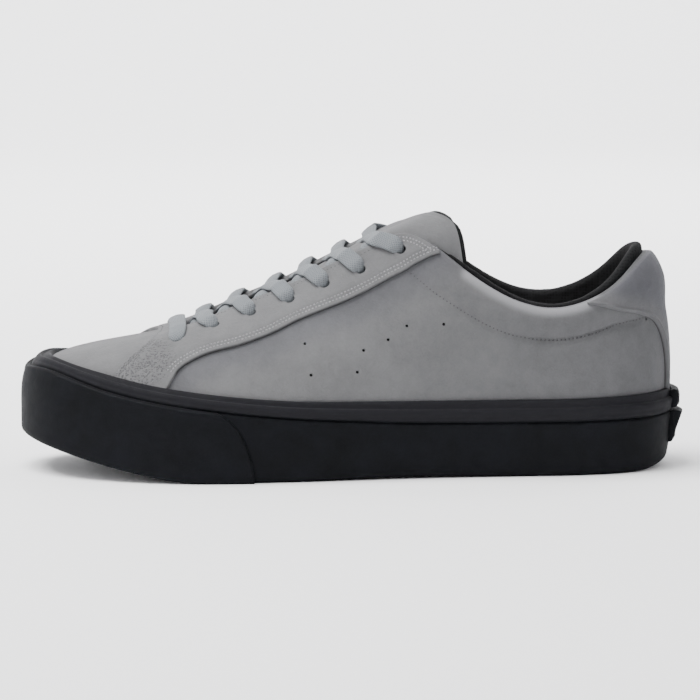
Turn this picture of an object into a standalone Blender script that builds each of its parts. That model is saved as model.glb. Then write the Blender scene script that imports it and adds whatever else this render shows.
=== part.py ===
"""A left skateboarding shoe: suede upper on a vulcanised rubber sole. Metres, +Z up.

The toe points along -X and the lateral side faces -Y. The origin is on the ground, in the middle
of the shoe's length and width.
"""

import math

import bmesh
import bpy
import numpy as np
from mathutils import Vector

# Driving sizes of the sole
SOLE_LENGTH = 0.288
BALL_WIDTH = 0.105
RIM_HEIGHT = 0.035
TOE_SPRING = 0.0178
SPRING_LENGTH = 0.077
SPRING_POWER = 1.4
HEEL_BEVEL = 0.0036
HEEL_BEVEL_LENGTH = 0.020
ARCH_LIFT = 0.0008
OUTSOLE_THICKNESS = 0.005
FOREFOOT_FILLER = 0.006
HEEL_FILLER = 0.011
INSOLE_THICKNESS = 0.004
FOXING_WALL = 0.004
BUMPER_THICKNESS = 0.0016
BADGE_STANDS_OFF = 0.0052
TREAD_PITCH = 0.0125
TREAD_GROOVE = 0.0030
TREAD_DEPTH = 0.0016
TREAD_MARGIN = 0.022

# Driving sizes of the upper
INSTEP_HEIGHT = 0.108
WALL = 0.0022
COLLAR_PADDING = 0.0050
COLLAR_ROLL = 0.0020
OVERLAY_THICKNESS = 0.0013
TONGUE_THICKNESS = 0.0040
TONGUE_PAST_THROAT = 0.0180
TONGUE_UNDERLAP = 0.011
TONGUE_SIDE_ROOM = 0.0012
EDGE_SPREAD = 0.020

# Lacing
EYELET_RADIUS = 0.0023
LACE_WIDTH = 0.0078
LACE_THICKNESS = 0.0017
LACE_CLEARANCE = 0.0006
LACE_LEAN = 0.0045
LACE_OVER = 0.45
LACE_SAG = 0.0018
LACE_EDGE_LIFT = 0.0011
PUNCH_LENGTH = 0.012
PUNCH_SIDES = 8

GAP = 0.0003
LACE_ROOM = LACE_THICKNESS + 2 * GAP
LACE_OUT = GAP + OVERLAY_THICKNESS + LACE_CLEARANCE + LACE_THICKNESS / 2
TOE_X = BUMPER_THICKNESS + GAP - (SOLE_LENGTH + BUMPER_THICKNESS + GAP + BADGE_STANDS_OFF) / 2

# One row for each section, from the toe tip to the back of the heel.
# along, lateral, medial: the sole's outline, as shares of SOLE_LENGTH and BALL_WIDTH.
# rim: the top of the sole's side, as a share of RIM_HEIGHT.
# groove: the level of the groove in the sole's side, as a share of its height.
# edge_along, edge_lateral, edge_medial, edge_up: the edge of the throat and collar, as shares of
# SOLE_LENGTH, BALL_WIDTH and INSTEP_HEIGHT.
# rise, lean: how far the wall runs up from the sole, as a share of its height, and its tilt in degrees.
# reach, pitch: how far the wall runs down from the edge, as a share of its span, and its slope in degrees.
COLUMNS = (
    "along", "lateral", "medial", "rim", "groove",
    "edge_along", "edge_lateral", "edge_medial", "edge_up",
    "rise", "lean", "reach", "pitch",
)
SECTIONS = (
    (0.000, 0.076, 0.076, 1.405, 0.835, 0.2515, 0.022, 0.022, 0.580, 0.72, 1, 0.84, 11),
    (0.010, -0.086, 0.233, 1.405, 0.862, 0.2527, -0.018, 0.060, 0.581, 0.71, 1, 0.83, 11),
    (0.041, -0.233, 0.352, 1.364, 0.880, 0.2580, -0.055, 0.095, 0.585, 0.67, 2, 0.77, 13),
    (0.094, -0.352, 0.438, 1.290, 0.845, 0.2695, -0.087, 0.125, 0.600, 0.60, 2, 0.64, 16),
    (0.167, -0.441, 0.486, 1.185, 0.828, 0.2960, -0.108, 0.144, 0.634, 0.52, 3, 0.52, 21),
    (0.250, -0.493, 0.500, 1.100, 0.820, 0.3439, -0.124, 0.158, 0.690, 0.46, 4, 0.44, 28),
    (0.337, -0.500, 0.474, 1.035, 0.803, 0.4047, -0.142, 0.172, 0.757, 0.42, 4, 0.40, 36),
    (0.424, -0.479, 0.427, 0.995, 0.778, 0.4637, -0.160, 0.184, 0.838, 0.39, 4, 0.38, 44),
    (0.507, -0.446, 0.384, 0.980, 0.748, 0.5210, -0.174, 0.192, 0.915, 0.37, 4, 0.37, 51),
    (0.570, -0.421, 0.364, 0.973, 0.722, 0.5766, -0.194, 0.204, 0.966, 0.36, 4, 0.36, 57),
    (0.632, -0.402, 0.354, 0.969, 0.712, 0.6252, -0.262, 0.257, 0.931, 0.36, 4, 0.37, 68),
    (0.695, -0.390, 0.352, 0.967, 0.711, 0.6807, -0.324, 0.305, 0.815, 0.37, 5, 0.36, 80),
    (0.764, -0.380, 0.357, 0.967, 0.711, 0.7536, -0.336, 0.314, 0.706, 0.36, 6, 0.34, 86),
    (0.840, -0.370, 0.356, 0.966, 0.711, 0.8266, -0.311, 0.295, 0.683, 0.36, 7, 0.34, 82),
    (0.917, -0.324, 0.317, 0.980, 0.711, 0.8960, -0.246, 0.238, 0.754, 0.36, 8, 0.34, 80),
    (0.974, -0.205, 0.203, 0.991, 0.711, 0.9405, -0.138, 0.136, 0.852, 0.38, 9, 0.34, 74),
    (1.000, 0.000, 0.000, 1.000, 0.711, 0.9590, 0.000, 0.000, 0.882, 0.40, 10, 0.34, 68),
)
HEEL_ROW = len(SECTIONS) - 1
ROWS_AROUND = 2 * HEEL_ROW
LOFT_COLUMNS = 64

# How each skin of the shell is divided between its lower and upper edge
SOLE_STEPS = (0.0, 0.50, 1.0)
UPPER_LEVELS = 9
INNER_LEVELS = (1.0, 0.92, 0.84, 0.72, 0.55, 0.36, 0.18, 0.0)
EYESTAY_LEVELS = 8
HEEL_TAB_LEVELS = 5
STEEPEST_STEP = 0.12

# Rolled collar lining: share of the wall's thickness, and share of the roll's height
COLLAR_LIP = ((0.22, 0.75), (0.55, 1.0), (0.88, 0.6))

# Side of the sole, from the ground to the rim: share of the height, and share of FOXING_WALL.
# The heights are those where the groove lies at GROOVE_LEVEL; elsewhere they shift with the groove.
GROOVE_LEVEL = 0.711
SOLE_SIDE = (
    (0.000, 0.45), (0.030, 0.82), (0.090, 1.00), (0.400, 1.00), (0.705, 1.00), (0.715, 0.82),
    (0.730, 0.96), (0.800, 0.96), (0.880, 0.96), (0.905, 0.66), (1.000, 0.50),
)
BUMPER_LEVELS = (0.000, 0.030, 0.090, 0.400, 0.630, 0.705)
BUMPER_ROW = 5.70
BUMPER_SLANT = 0.42
BUMPER_CORNER = 0.30

# Raised pieces on the back of the foxing: share of its height, and share of BADGE_STANDS_OFF
HEEL_HALF_ROWS = 0.46
HEEL_BADGE = ((0.27, 0.36), (0.33, 0.52), (0.66, 0.95), (0.71, 1.00), (0.72, 0.80))
HEEL_STRIP = ((0.755, 0.25), (0.79, 0.52), (0.90, 0.58), (0.97, 0.46), (0.995, 0.28))

# Lower edges of the overlays: section row, and share of the way from the sole's rim to the edge
EYESTAY_EDGE = (
    (0.00, 0.870), (1.16, 0.843), (2.44, 0.691), (2.98, 0.470), (3.27, 0.030), (4.36, 0.030),
    (4.41, 0.205), (4.55, 0.314), (4.87, 0.413), (5.42, 0.476), (5.98, 0.547), (6.56, 0.623),
    (7.66, 0.682), (8.93, 0.754), (9.55, 0.851), (10.15, 0.968),
)
HEEL_TAB_EDGE = (
    (13.40, 0.975), (13.70, 0.885), (14.00, 0.790), (14.75, 0.616), (15.10, 0.530), (15.33, 0.410),
    (15.46, 0.270), (15.60, 0.030), (16.00, 0.030),
)
# Upper edge of the overlays, a little under the throat and collar edge
OVERLAY_TOP = 0.992

# Eyelet holes, from the toe up: section row, and share of the way from the sole's rim to the edge
EYELETS = (
    (3.72, 0.638), (4.51, 0.769), (5.34, 0.808), (6.21, 0.827), (7.03, 0.850), (7.91, 0.857),
    (8.98, 0.896),
)
# Places on a lace: over the facing, then across the throat, and along the lowest bar
FACING_STEPS = (0.0, 0.45, 0.85, 1.0)
ACROSS_STEPS = (0.10, 0.50, 0.70)
BAR_STEPS = (0.7, 0.35, 0.0)
LACE_POINTS = 11

# Section rows of the tongue under the lacing, and the row and level its free end's sides reach
TONGUE_ROWS = (2.4, 3.2, 4.0, 5.0, 6.0, 7.0, 8.0, 9.0)
TONGUE_FRONT_ROW = 2.2
TONGUE_SIDE_ROW = 10.85
TONGUE_SIDE_LEVEL = 0.95
# Rise of the free end beside its reach, bulge across its width, and stretch of the end's quarters
TONGUE_RISE = 0.36
TONGUE_CROWN = 0.05
TONGUE_LEAN = (1.35, 1.0, 0.45)
TONGUE_POINTS = 11

COLOURS = {
    "suede": ((0.30, 0.30, 0.31), 0.92),
    "lining": ((0.012, 0.012, 0.013), 0.85),
    "rubber": ((0.016, 0.017, 0.019), 0.55),
    "lace": ((0.40, 0.41, 0.43), 0.85),
    "foam": ((0.05, 0.05, 0.05), 0.90),
}


def periodic_spline(values):
    """A smooth closed curve through the values, one for each section around the shoe."""
    values = np.asarray(values, float)
    count = len(values)
    spread = 4 * np.eye(count) + np.roll(np.eye(count), 1, 0) + np.roll(np.eye(count), -1, 0)
    bend = np.linalg.solve(spread, 6 * (np.roll(values, -1) - 2 * values + np.roll(values, 1)))

    def at(row):
        row = np.asarray(row, float) % count
        low = np.floor(row).astype(int) % count
        high = (low + 1) % count
        b = row - np.floor(row)
        a = 1 - b
        curve = ((a**3 - a) * bend[low] + (b**3 - b) * bend[high]) / 6
        return a * values[low] + b * values[high] + curve

    return at


def around(column, other=None):
    """Closed spline of a column; the way back along the medial side may read another column."""
    there = [row[COLUMNS.index(column)] for row in SECTIONS]
    back = [row[COLUMNS.index(other or column)] for row in SECTIONS]
    return periodic_spline(there + back[-2:0:-1])


OUTLINE_X = around("along")
OUTLINE_Y = around("lateral", "medial")
RIM = around("rim")
GROOVE = around("groove")
EDGE_X = around("edge_along")
EDGE_Y = around("edge_lateral", "edge_medial")
EDGE_Z = around("edge_up")
RISE, LEAN, REACH, PITCH = (around(name) for name in ("rise", "lean", "reach", "pitch"))


def smooth(x, low, high):
    t = np.clip((np.asarray(x, float) - low) / (high - low), 0, 1)
    return t * t * (3 - 2 * t)


def unit(vectors):
    return vectors / np.linalg.norm(vectors, axis=-1, keepdims=True)


def ground(x):
    """Height of the sole's underside: toe spring, a slight arch and the heel's bevel."""
    from_toe = TOE_X + SPRING_LENGTH - x
    spring = TOE_SPRING * (np.clip(from_toe, 0, None) / SPRING_LENGTH) ** SPRING_POWER
    to_heel = x - (TOE_X + SOLE_LENGTH - HEEL_BEVEL_LENGTH)
    bevel = HEEL_BEVEL * (np.clip(to_heel, 0, None) / HEEL_BEVEL_LENGTH) ** 2
    share = (x - TOE_X) / SOLE_LENGTH
    arch = ARCH_LIFT * smooth(share, 0.42, 0.55) * (1 - smooth(share, 0.62, 0.75))
    return spring + bevel + arch


def filler(x):
    share = (x - TOE_X) / SOLE_LENGTH
    return FOREFOOT_FILLER + (HEEL_FILLER - FOREFOOT_FILLER) * smooth(share, 0.40, 0.75)


def seat(x):
    """Height of the filler's top, on which upper and insole stand."""
    return ground(x) + OUTSOLE_THICKNESS + GAP + filler(x)


def outline(row):
    """Outer line of the sole in plan, and its outward normal."""
    def point(r):
        return np.stack([TOE_X + SOLE_LENGTH * OUTLINE_X(r), BALL_WIDTH * OUTLINE_Y(r)], -1)

    tangent = unit(point(np.asarray(row) + 0.01) - point(np.asarray(row) - 0.01))
    return point(row), np.stack([-tangent[..., 1], tangent[..., 0]], -1) * -1


def wall_line(row):
    """Outer line of the upper where it meets the sole, in plan, and the outward normal."""
    point, normal = outline(row)
    return point - normal * (FOXING_WALL + GAP), normal


def upper_surface(row, v):
    """Outer surface of the upper: v runs from 0 at the sole to 1 at the throat or collar edge."""
    row, v = np.broadcast_arrays(np.asarray(row, float), np.asarray(v, float))
    foot_xy, normal = wall_line(row)
    foot = np.concatenate([foot_xy, (seat(foot_xy[..., 0]) + GAP)[..., None]], -1)
    edge = np.stack(
        [TOE_X + SOLE_LENGTH * EDGE_X(row), BALL_WIDTH * EDGE_Y(row), INSTEP_HEIGHT * EDGE_Z(row)], -1
    )
    away = foot[..., :2] - edge[..., :2]
    outward = unit(away + normal * EDGE_SPREAD)
    lean, pitch = np.radians(LEAN(row)), np.radians(PITCH(row))
    climb = RISE(row) * (edge[..., 2] - foot[..., 2])
    low = foot + np.concatenate(
        [normal * (climb * np.sin(lean))[..., None], (climb * np.cos(lean))[..., None]], -1
    )
    span = REACH(row) * np.linalg.norm(edge - foot, axis=-1)
    high = edge + np.concatenate(
        [outward * (span * np.cos(pitch))[..., None], -(span * np.sin(pitch))[..., None]], -1
    )
    t = v[..., None]
    return (
        foot * (1 - t) ** 3 + 3 * low * t * (1 - t) ** 2 + 3 * high * t**2 * (1 - t) + edge * t**3
    )


def upper_normal(row, v):
    """Outward normal of the upper's outer surface."""
    v = np.clip(v, 0.002, 0.998)
    step = 0.002
    along = upper_surface(row + step, v) - upper_surface(row - step, v)
    up = upper_surface(row, v + step) - upper_surface(row, v - step)
    return unit(np.cross(along, up))


def level_at(row, height):
    """The v at which the upper's surface reaches a height."""
    row, height = np.broadcast_arrays(np.asarray(row, float), np.asarray(height, float))
    samples = np.linspace(0, 0.9, 91)
    flat_rows, flat_heights = row.ravel(), height.ravel()
    heights = upper_surface(flat_rows[:, None], samples[None])[..., 2]
    found = [np.interp(h, line, samples) for h, line in zip(flat_heights, heights)]
    return np.array(found).reshape(row.shape)


def rim_level(row):
    return level_at(row, RIM_HEIGHT * RIM(row))


def above_rim(row, share):
    """v for a share of the way from the sole's rim to the edge."""
    low = rim_level(row)
    return low + (1 - low) * share


def sole_side(row, share, out):
    """Point of the sole's side at a share of its height, standing out from the upper's line."""
    row, share, out = np.broadcast_arrays(*(np.asarray(x, float) for x in (row, share, out)))
    foot, normal = wall_line(row)
    base = ground(foot[..., 0])
    groove = GROOVE(row)
    above = groove + (share - GROOVE_LEVEL) * (1 - groove) / (1 - GROOVE_LEVEL)
    share = np.where(share < GROOVE_LEVEL, share * groove / GROOVE_LEVEL, above)
    height = base + share * (RIM_HEIGHT * RIM(row) - base)
    stand = seat(foot[..., 0]) + GAP
    v = level_at(row, np.maximum(height, stand))
    point = upper_surface(row, v)
    facing = upper_normal(row, v)
    below = height < stand
    point[..., 2] = np.where(below, height, point[..., 2])
    facing[..., 2] = np.where(below, 0, facing[..., 2])
    return point + unit(facing) * out[..., None]


def rows_for(count=LOFT_COLUMNS):
    return np.arange(count) * ROWS_AROUND / count


def finish_mesh(name, mesh, material, parts):
    bm = bmesh.new()
    bm.from_mesh(mesh)
    bmesh.ops.remove_doubles(bm, verts=bm.verts, dist=1e-6)
    bmesh.ops.recalc_face_normals(bm, faces=bm.faces)
    if bm.calc_volume(signed=True) < 0:
        bmesh.ops.reverse_faces(bm, faces=bm.faces)
    bm.to_mesh(mesh)
    bm.free()
    mesh.shade_smooth()
    mesh.set_sharp_from_angle(angle=math.radians(40))
    mesh.materials.append(material)
    obj = bpy.data.objects.new(name, mesh)
    parts.objects.link(obj)
    return obj


def loft(name, grid, material, parts, closed_along=False):
    """A solid from a grid of closed sections; an open run of sections is capped at both ends."""
    count, around_count = grid.shape[:2]
    faces = []
    for i in range(count if closed_along else count - 1):
        a, b = i * around_count, (i + 1) % count * around_count
        for j in range(around_count):
            k = (j + 1) % around_count
            faces.append((a + j, a + k, b + k, b + j))
    if not closed_along:
        faces += cap_faces(0, around_count) + cap_faces((count - 1) * around_count, around_count)
    mesh = bpy.data.meshes.new(name)
    mesh.from_pydata(grid.reshape(-1, 3).tolist(), [], faces)
    return finish_mesh(name, mesh, material, parts)


def cap_faces(first, count):
    """Cross strips that close a flattened section whose two long sides run opposite ways."""
    half = count // 2
    faces = []
    for j in range(half):
        a, b = first + j, first + j + 1
        c, d = first + count - 2 - j, first + count - 1 - j
        ring = list(dict.fromkeys((a, b, c, d)))
        if len(ring) > 2 and b <= c:
            faces.append(tuple(ring))
        elif b > c:
            break
    return faces


def slab(name, lower, upper, material, parts):
    """A sheet-like solid between two closed outlines, its faces run across from side to side."""
    count = len(lower)
    half = count // 2
    faces = [(i, (i + 1) % count, count + (i + 1) % count, count + i) for i in range(count)]
    for base in (0, count):
        for i in range(half):
            ring = (i, i + 1, (count - i - 1) % count, (count - i) % count)
            faces.append(tuple(base + j for j in dict.fromkeys(ring)))
    mesh = bpy.data.meshes.new(name)
    mesh.from_pydata(np.concatenate([lower, upper]).tolist(), [], faces)
    return finish_mesh(name, mesh, material, parts)


def with_height(plan, height):
    return np.concatenate([plan, np.broadcast_to(height, plan.shape[:-1])[..., None]], -1)


def wall_at(row, v):
    """Thickness of the upper: thin at the vamp and quarters, padded inside the collar."""
    from_heel = np.abs(np.asarray(row) - HEEL_ROW)
    padded = 1 - smooth(from_heel, HEEL_ROW - 11.8, HEEL_ROW - 9.9)
    return WALL + COLLAR_PADDING * padded * smooth(v, 0.62, 0.86)


def roll_at(row):
    """Height of the lining's roll above the collar edge."""
    from_heel = np.abs(np.asarray(row) - HEEL_ROW)
    sides = 1 - smooth(from_heel, HEEL_ROW - 11.3, HEEL_ROW - 9.7)
    back = 1 - smooth(from_heel, 0.6, 2.8)
    return COLLAR_ROLL * (sides + 0.8 * back)


def inner_surface(row, v):
    row, v = np.broadcast_arrays(np.asarray(row, float), np.asarray(v, float))
    return upper_surface(row, v) - upper_normal(row, v) * wall_at(row, v)[..., None]


def build_upper(material, parts):
    """One hollow shell: the outer wall, the rolled collar edge and the inner wall."""
    rows = rows_for()
    rim = rim_level(rows)
    outer = [upper_surface(rows, rim * share) for share in SOLE_STEPS]
    shares = np.linspace(0, 1, UPPER_LEVELS)[1:]
    outer += [upper_surface(rows, rim + (1 - rim) * share) for share in shares]
    edge = upper_surface(rows, 1.0)
    inward = -upper_normal(rows, 1.0)
    thick, roll = wall_at(rows, 1.0), roll_at(rows)
    lip = []
    for across, height in COLLAR_LIP:
        point = edge + inward * (thick * across)[:, None]
        point[:, 2] += roll * height
        lip.append(point)
    inner = [inner_surface(rows, np.full(len(rows), level)) for level in INNER_LEVELS]
    return loft("upper", np.stack(outer + lip + inner, 1), material, parts, closed_along=True)


def build_foxing(material, parts):
    """Side band of the sole, with its groove and its two set-back tapes, around the whole shoe."""
    rows = rows_for()
    outer = [sole_side(rows, share, GAP + FOXING_WALL * out) for share, out in SOLE_SIDE]
    rim = rim_level(rows)
    inner = [upper_surface(rows, rim * s) + upper_normal(rows, rim * s) * GAP for s in SOLE_STEPS[::-1]]
    bottom = inner[-1].copy()
    bottom[:, 2] = ground(bottom[:, 0])
    return loft("foxing", np.stack(outer + inner + [bottom], 1), material, parts, closed_along=True)


def build_bumper(material, parts):
    """Toe guard: a second layer over the foxing, from one side of the ball round the toe."""
    step = ROWS_AROUND / LOFT_COLUMNS
    shares = np.array(BUMPER_LEVELS)
    height = shares / shares[-1]
    slant = BUMPER_ROW + BUMPER_SLANT * (1 - height**2) - BUMPER_CORNER * height**8
    last = math.floor(BUMPER_ROW / step) - 2
    side = np.concatenate([
        np.arange(last)[:, None] * step + 0 * shares[None],
        np.linspace(np.full(len(shares), last * step), slant, 4),
    ])
    rows = np.concatenate([-side[:0:-1], side])
    outs = np.interp(shares, *zip(*SOLE_SIDE)) * FOXING_WALL
    outs = np.maximum.accumulate(outs[::-1])[::-1] + 2 * GAP
    shares = shares[None] + 0 * rows
    under = sole_side(rows, shares, outs[None] + 0 * rows)
    thick = np.full(len(BUMPER_LEVELS), BUMPER_THICKNESS)
    thick[0] *= 0.45
    thick[-1] *= 0.55
    over = sole_side(rows, shares, (outs + thick)[None] + 0 * rows)
    return loft("toe_bumper", np.concatenate([over, under[:, ::-1]], 1), material, parts)


def tread_stops(low, high):
    """Lengthwise places where the tread's cross grooves start and stop, with their depths."""
    pitch, width, depth, margin = TREAD_PITCH, TREAD_GROOVE, TREAD_DEPTH, TREAD_MARGIN
    count = int((high - low - 2 * margin) / pitch)
    first = (low + high) / 2 - (count - 1) * pitch / 2
    stops = []
    for i in range(count):
        x = first + i * pitch
        shape = ((-1 / 2, 0.0), (-1 / 4, depth), (1 / 4, depth), (1 / 2, 0.0))
        stops += [(x + width * share, deep) for share, deep in shape]
    return stops


def build_outsole(material, parts):
    """Bottom sheet inside the foxing, with cross grooves between its tread bars."""
    half = LOFT_COLUMNS // 2
    plan, _ = wall_line(rows_for())
    lateral, medial = plan[: half + 1], np.concatenate([plan[:1], plan[: half - 1 : -1]])
    grooves = tread_stops(plan[0, 0], plan[half, 0])
    spans = [(grooves[i][0], grooves[i + 3][0]) for i in range(0, len(grooves), 4)]
    stops = grooves + [(x, 0.0) for x in lateral[:, 0] if not any(a <= x <= b for a, b in spans)]
    stops = sorted(stops)
    xs = np.array([x for x, _ in stops])
    depths = np.array([depth for _, depth in stops])
    sides = [np.stack([xs, np.interp(xs, side[:, 0], side[:, 1])], -1) for side in (lateral, medial)]
    loop = np.concatenate([sides[0], sides[1][-2:0:-1]])
    deep = np.concatenate([depths, depths[-2:0:-1]])
    lower = with_height(loop, ground(loop[:, 0]) + deep)
    upper = with_height(loop, ground(loop[:, 0]) + OUTSOLE_THICKNESS)
    return slab("outsole", lower, upper, material, parts)


def build_filler(material, parts):
    """Wedge of sponge between outsole and insole, thicker under the heel."""
    plan, _ = wall_line(rows_for())
    x = plan[:, 0]
    lower = with_height(plan, ground(x) + OUTSOLE_THICKNESS + GAP)
    upper = with_height(plan, seat(x))
    return slab("midsole_filler", lower, upper, material, parts)


def build_insole(material, parts):
    """Footbed: a loose sheet inside the upper, on the filler."""
    rows = rows_for()
    foot = inner_surface(rows, 0.0)
    _, normal = wall_line(rows)
    plan = foot[:, :2] - normal * GAP
    lower = with_height(plan, seat(plan[:, 0]) + GAP)
    upper = with_height(plan - normal * GAP, seat(plan[:, 0]) + GAP + INSOLE_THICKNESS)
    return slab("insole", lower, upper, material, parts)


def follow(table, at):
    """A smooth curve through a table's points, level where it turns and without overshoot."""
    x, y = np.array(table).T
    step, rise = np.diff(x), np.diff(y)
    slopes = rise / step
    left, right = slopes[:-1], slopes[1:]
    turning = left * right <= 0
    weight = 2 * step[1:] + step[:-1], step[1:] + 2 * step[:-1]
    before, after = np.where(turning, 1, left), np.where(turning, 1, right)
    harmonic = sum(weight) / (weight[0] / before + weight[1] / after)
    tangent = np.concatenate([slopes[:1], np.where(turning, 0, harmonic), slopes[-1:]])
    low = np.clip(np.searchsorted(x, at, side="right") - 1, 0, len(x) - 2)
    h = step[low]
    t = np.clip((at - x[low]) / h, 0, 1)
    return (
        (2 * t**3 - 3 * t**2 + 1) * y[low] + (t**3 - 2 * t**2 + t) * h * tangent[low]
        + (3 * t**2 - 2 * t**3) * y[low + 1] + (t**3 - t**2) * h * tangent[low + 1]
    )


def overlay_rows(table):
    """The table's rows and the loft's columns between them, closer where the edge is steep."""
    rows = np.array([row for row, _ in table])
    step = ROWS_AROUND / LOFT_COLUMNS
    columns = np.arange(math.ceil(rows[0] / step), math.floor(rows[-1] / step) + 1) * step
    clear = [column for column in columns if np.abs(rows - column).min() > 0.45 * step]
    rows = np.sort(np.concatenate([rows, clear]))
    shares = follow(table, rows)
    filled = [rows[:1]]
    for i in range(len(rows) - 1):
        parts = math.ceil(abs(shares[i + 1] - shares[i]) / STEEPEST_STEP)
        filled.append(np.linspace(rows[i], rows[i + 1], max(parts, 1) + 1)[1:])
    return np.concatenate(filled)


def overlay(name, rows, shares, material, parts, levels):
    """A second layer on the upper, from a lower edge up to just under the throat or collar edge."""
    low, high = above_rim(rows, shares), above_rim(rows, OVERLAY_TOP)
    v = low[:, None] + (high - low)[:, None] * np.linspace(0, 1, levels)[None]
    spread = rows[:, None] + 0 * v
    surface, normal = upper_surface(spread, v), upper_normal(spread, v)
    under = surface + normal * GAP
    over = surface + normal * (GAP + OVERLAY_THICKNESS)
    return loft(name, np.concatenate([over, under[:, ::-1]], 1), material, parts)


def build_eyestay(material, parts):
    """Facing around the throat, with a wing down to the sole on each side of the forefoot."""
    side = overlay_rows(EYESTAY_EDGE)
    rows = np.concatenate([-side[:0:-1], side])
    shares = follow(EYESTAY_EDGE, np.abs(rows))
    return overlay("eyestay", rows, shares, material, parts, EYESTAY_LEVELS)


def build_heel_tab(material, parts):
    """Backstay: wide at the collar, narrow down the back of the heel."""
    side = overlay_rows(HEEL_TAB_EDGE)
    rows = np.concatenate([side, 2 * HEEL_ROW - side[-2::-1]])
    shares = follow(HEEL_TAB_EDGE, HEEL_ROW - np.abs(rows - HEEL_ROW))
    return overlay("heel_tab", rows, shares, material, parts, HEEL_TAB_LEVELS)


def level_from_edge(row, distance):
    """The v that lies a distance below the edge, measured along the surface."""
    samples = np.linspace(1, 0.3, 71)
    line = upper_surface(np.full(len(samples), float(row)), samples)
    return float(np.interp(distance, distance_along(line), samples))


def tongue_section(row):
    """Top line of the tongue across the throat, tucked under the facing on both sides."""
    points = []
    for signed in (row, -row):
        under = level_from_edge(signed % ROWS_AROUND, TONGUE_UNDERLAP)
        side = []
        for v in (under, (under + 1) / 2, 1.0):
            at = np.array([signed % ROWS_AROUND])
            side.append((upper_surface(at, v) - upper_normal(at, v) * (WALL + LACE_ROOM))[0])
        points.append(side)
    lateral, medial = points[0], points[1][::-1]
    middle = (lateral[-1] + medial[0]) / 2
    width = np.linalg.norm(lateral[-1] - medial[0])
    middle[2] += TONGUE_CROWN * row / TONGUE_ROWS[-1] * width
    return resample(np.array(lateral + [middle] + medial), TONGUE_POINTS)


def distance_along(points):
    """Distance from the first point to each point, along the line."""
    steps = np.linalg.norm(np.diff(points[:, :3], axis=0), axis=-1)
    return np.concatenate([[0], np.cumsum(steps)])


def resample(points, count):
    """Evenly spaced points on a smooth curve through the given ones; facings ride along in columns 3 on."""
    run = distance_along(points)
    fine = np.linspace(0, run[-1], 200)
    slope = np.gradient(points, run, axis=0)
    low = np.clip(np.searchsorted(run, fine, side="right") - 1, 0, len(points) - 2)
    h = (run[low + 1] - run[low])[:, None]
    t = (fine - run[low])[:, None] / h
    curve = (
        (2 * t**3 - 3 * t**2 + 1) * points[low] + (t**3 - 2 * t**2 + t) * h * slope[low]
        + (3 * t**2 - 2 * t**3) * points[low + 1] + (t**3 - t**2) * h * slope[low + 1]
    )
    length = distance_along(curve)
    even = np.linspace(0, length[-1], count)
    return np.stack([np.interp(even, length, column) for column in curve.T], -1)


def tongue_front():
    """Front line of the tongue, under the vamp."""
    rows = np.linspace(TONGUE_FRONT_ROW, -TONGUE_FRONT_ROW, TONGUE_POINTS) % ROWS_AROUND
    levels = np.array([level_from_edge(row, TONGUE_UNDERLAP) for row in rows])
    return upper_surface(rows, levels) - upper_normal(rows, levels) * (WALL + 4 * GAP)


def tongue_free(last, share):
    """A line across the free end: its middle stands up past the throat, its sides follow the collar."""
    row = TONGUE_ROWS[-1] + (TONGUE_SIDE_ROW - TONGUE_ROWS[-1]) * share
    ends = []
    for signed in (row, ROWS_AROUND - row):
        at = np.array([signed])
        inside = wall_at(at, TONGUE_SIDE_LEVEL)[0] + TONGUE_SIDE_ROOM
        edge, normal = (f(at, TONGUE_SIDE_LEVEL)[0] for f in (upper_surface, upper_normal))
        ends.append(edge - normal * inside)
    reach = np.array([TONGUE_PAST_THROAT, 0, TONGUE_RISE * TONGUE_PAST_THROAT]) * share
    lean = np.array(TONGUE_LEAN)
    points = [ends[0], last[2] + reach * lean, last[5] + reach, last[8] + reach * lean, ends[1]]
    return resample(np.array(points), TONGUE_POINTS)


def build_tongue(material, parts):
    """Padded tongue: under the vamp in front, free above the top eyelets."""
    lines = [tongue_front()] + [tongue_section(row) for row in TONGUE_ROWS]
    last = lines[-1]
    lines += [tongue_free(last, 0.5), tongue_free(last, 1.0)]
    over = np.array(lines)
    along = np.gradient(over, axis=0)
    across = np.gradient(over, axis=1)
    normal = unit(np.cross(along, across))
    normal *= np.sign(normal[:, 5:6, 2:3])
    depth = np.full(over.shape[:2], TONGUE_THICKNESS)
    depth[0] *= 0.4
    depth[1] *= 0.6
    depth[:, [0, -1]] *= 0.5
    under = over - normal * depth[..., None]
    return loft("tongue", np.concatenate([over, under[:, ::-1]], 1), material, parts)


def eyelet(index, side):
    """Section row and level of an eyelet hole on one side of the throat."""
    row, share = EYELETS[index]
    row = row if side < 0 else ROWS_AROUND - row
    return row, float(above_rim(np.array([row]), share)[0])


def on_surface(row, v, out):
    """A point standing out from the upper's outer surface, with the surface's facing there."""
    at = np.array([row % ROWS_AROUND])
    normal = upper_normal(at, v)[0]
    return upper_surface(at, v)[0] + normal * out, normal


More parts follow.
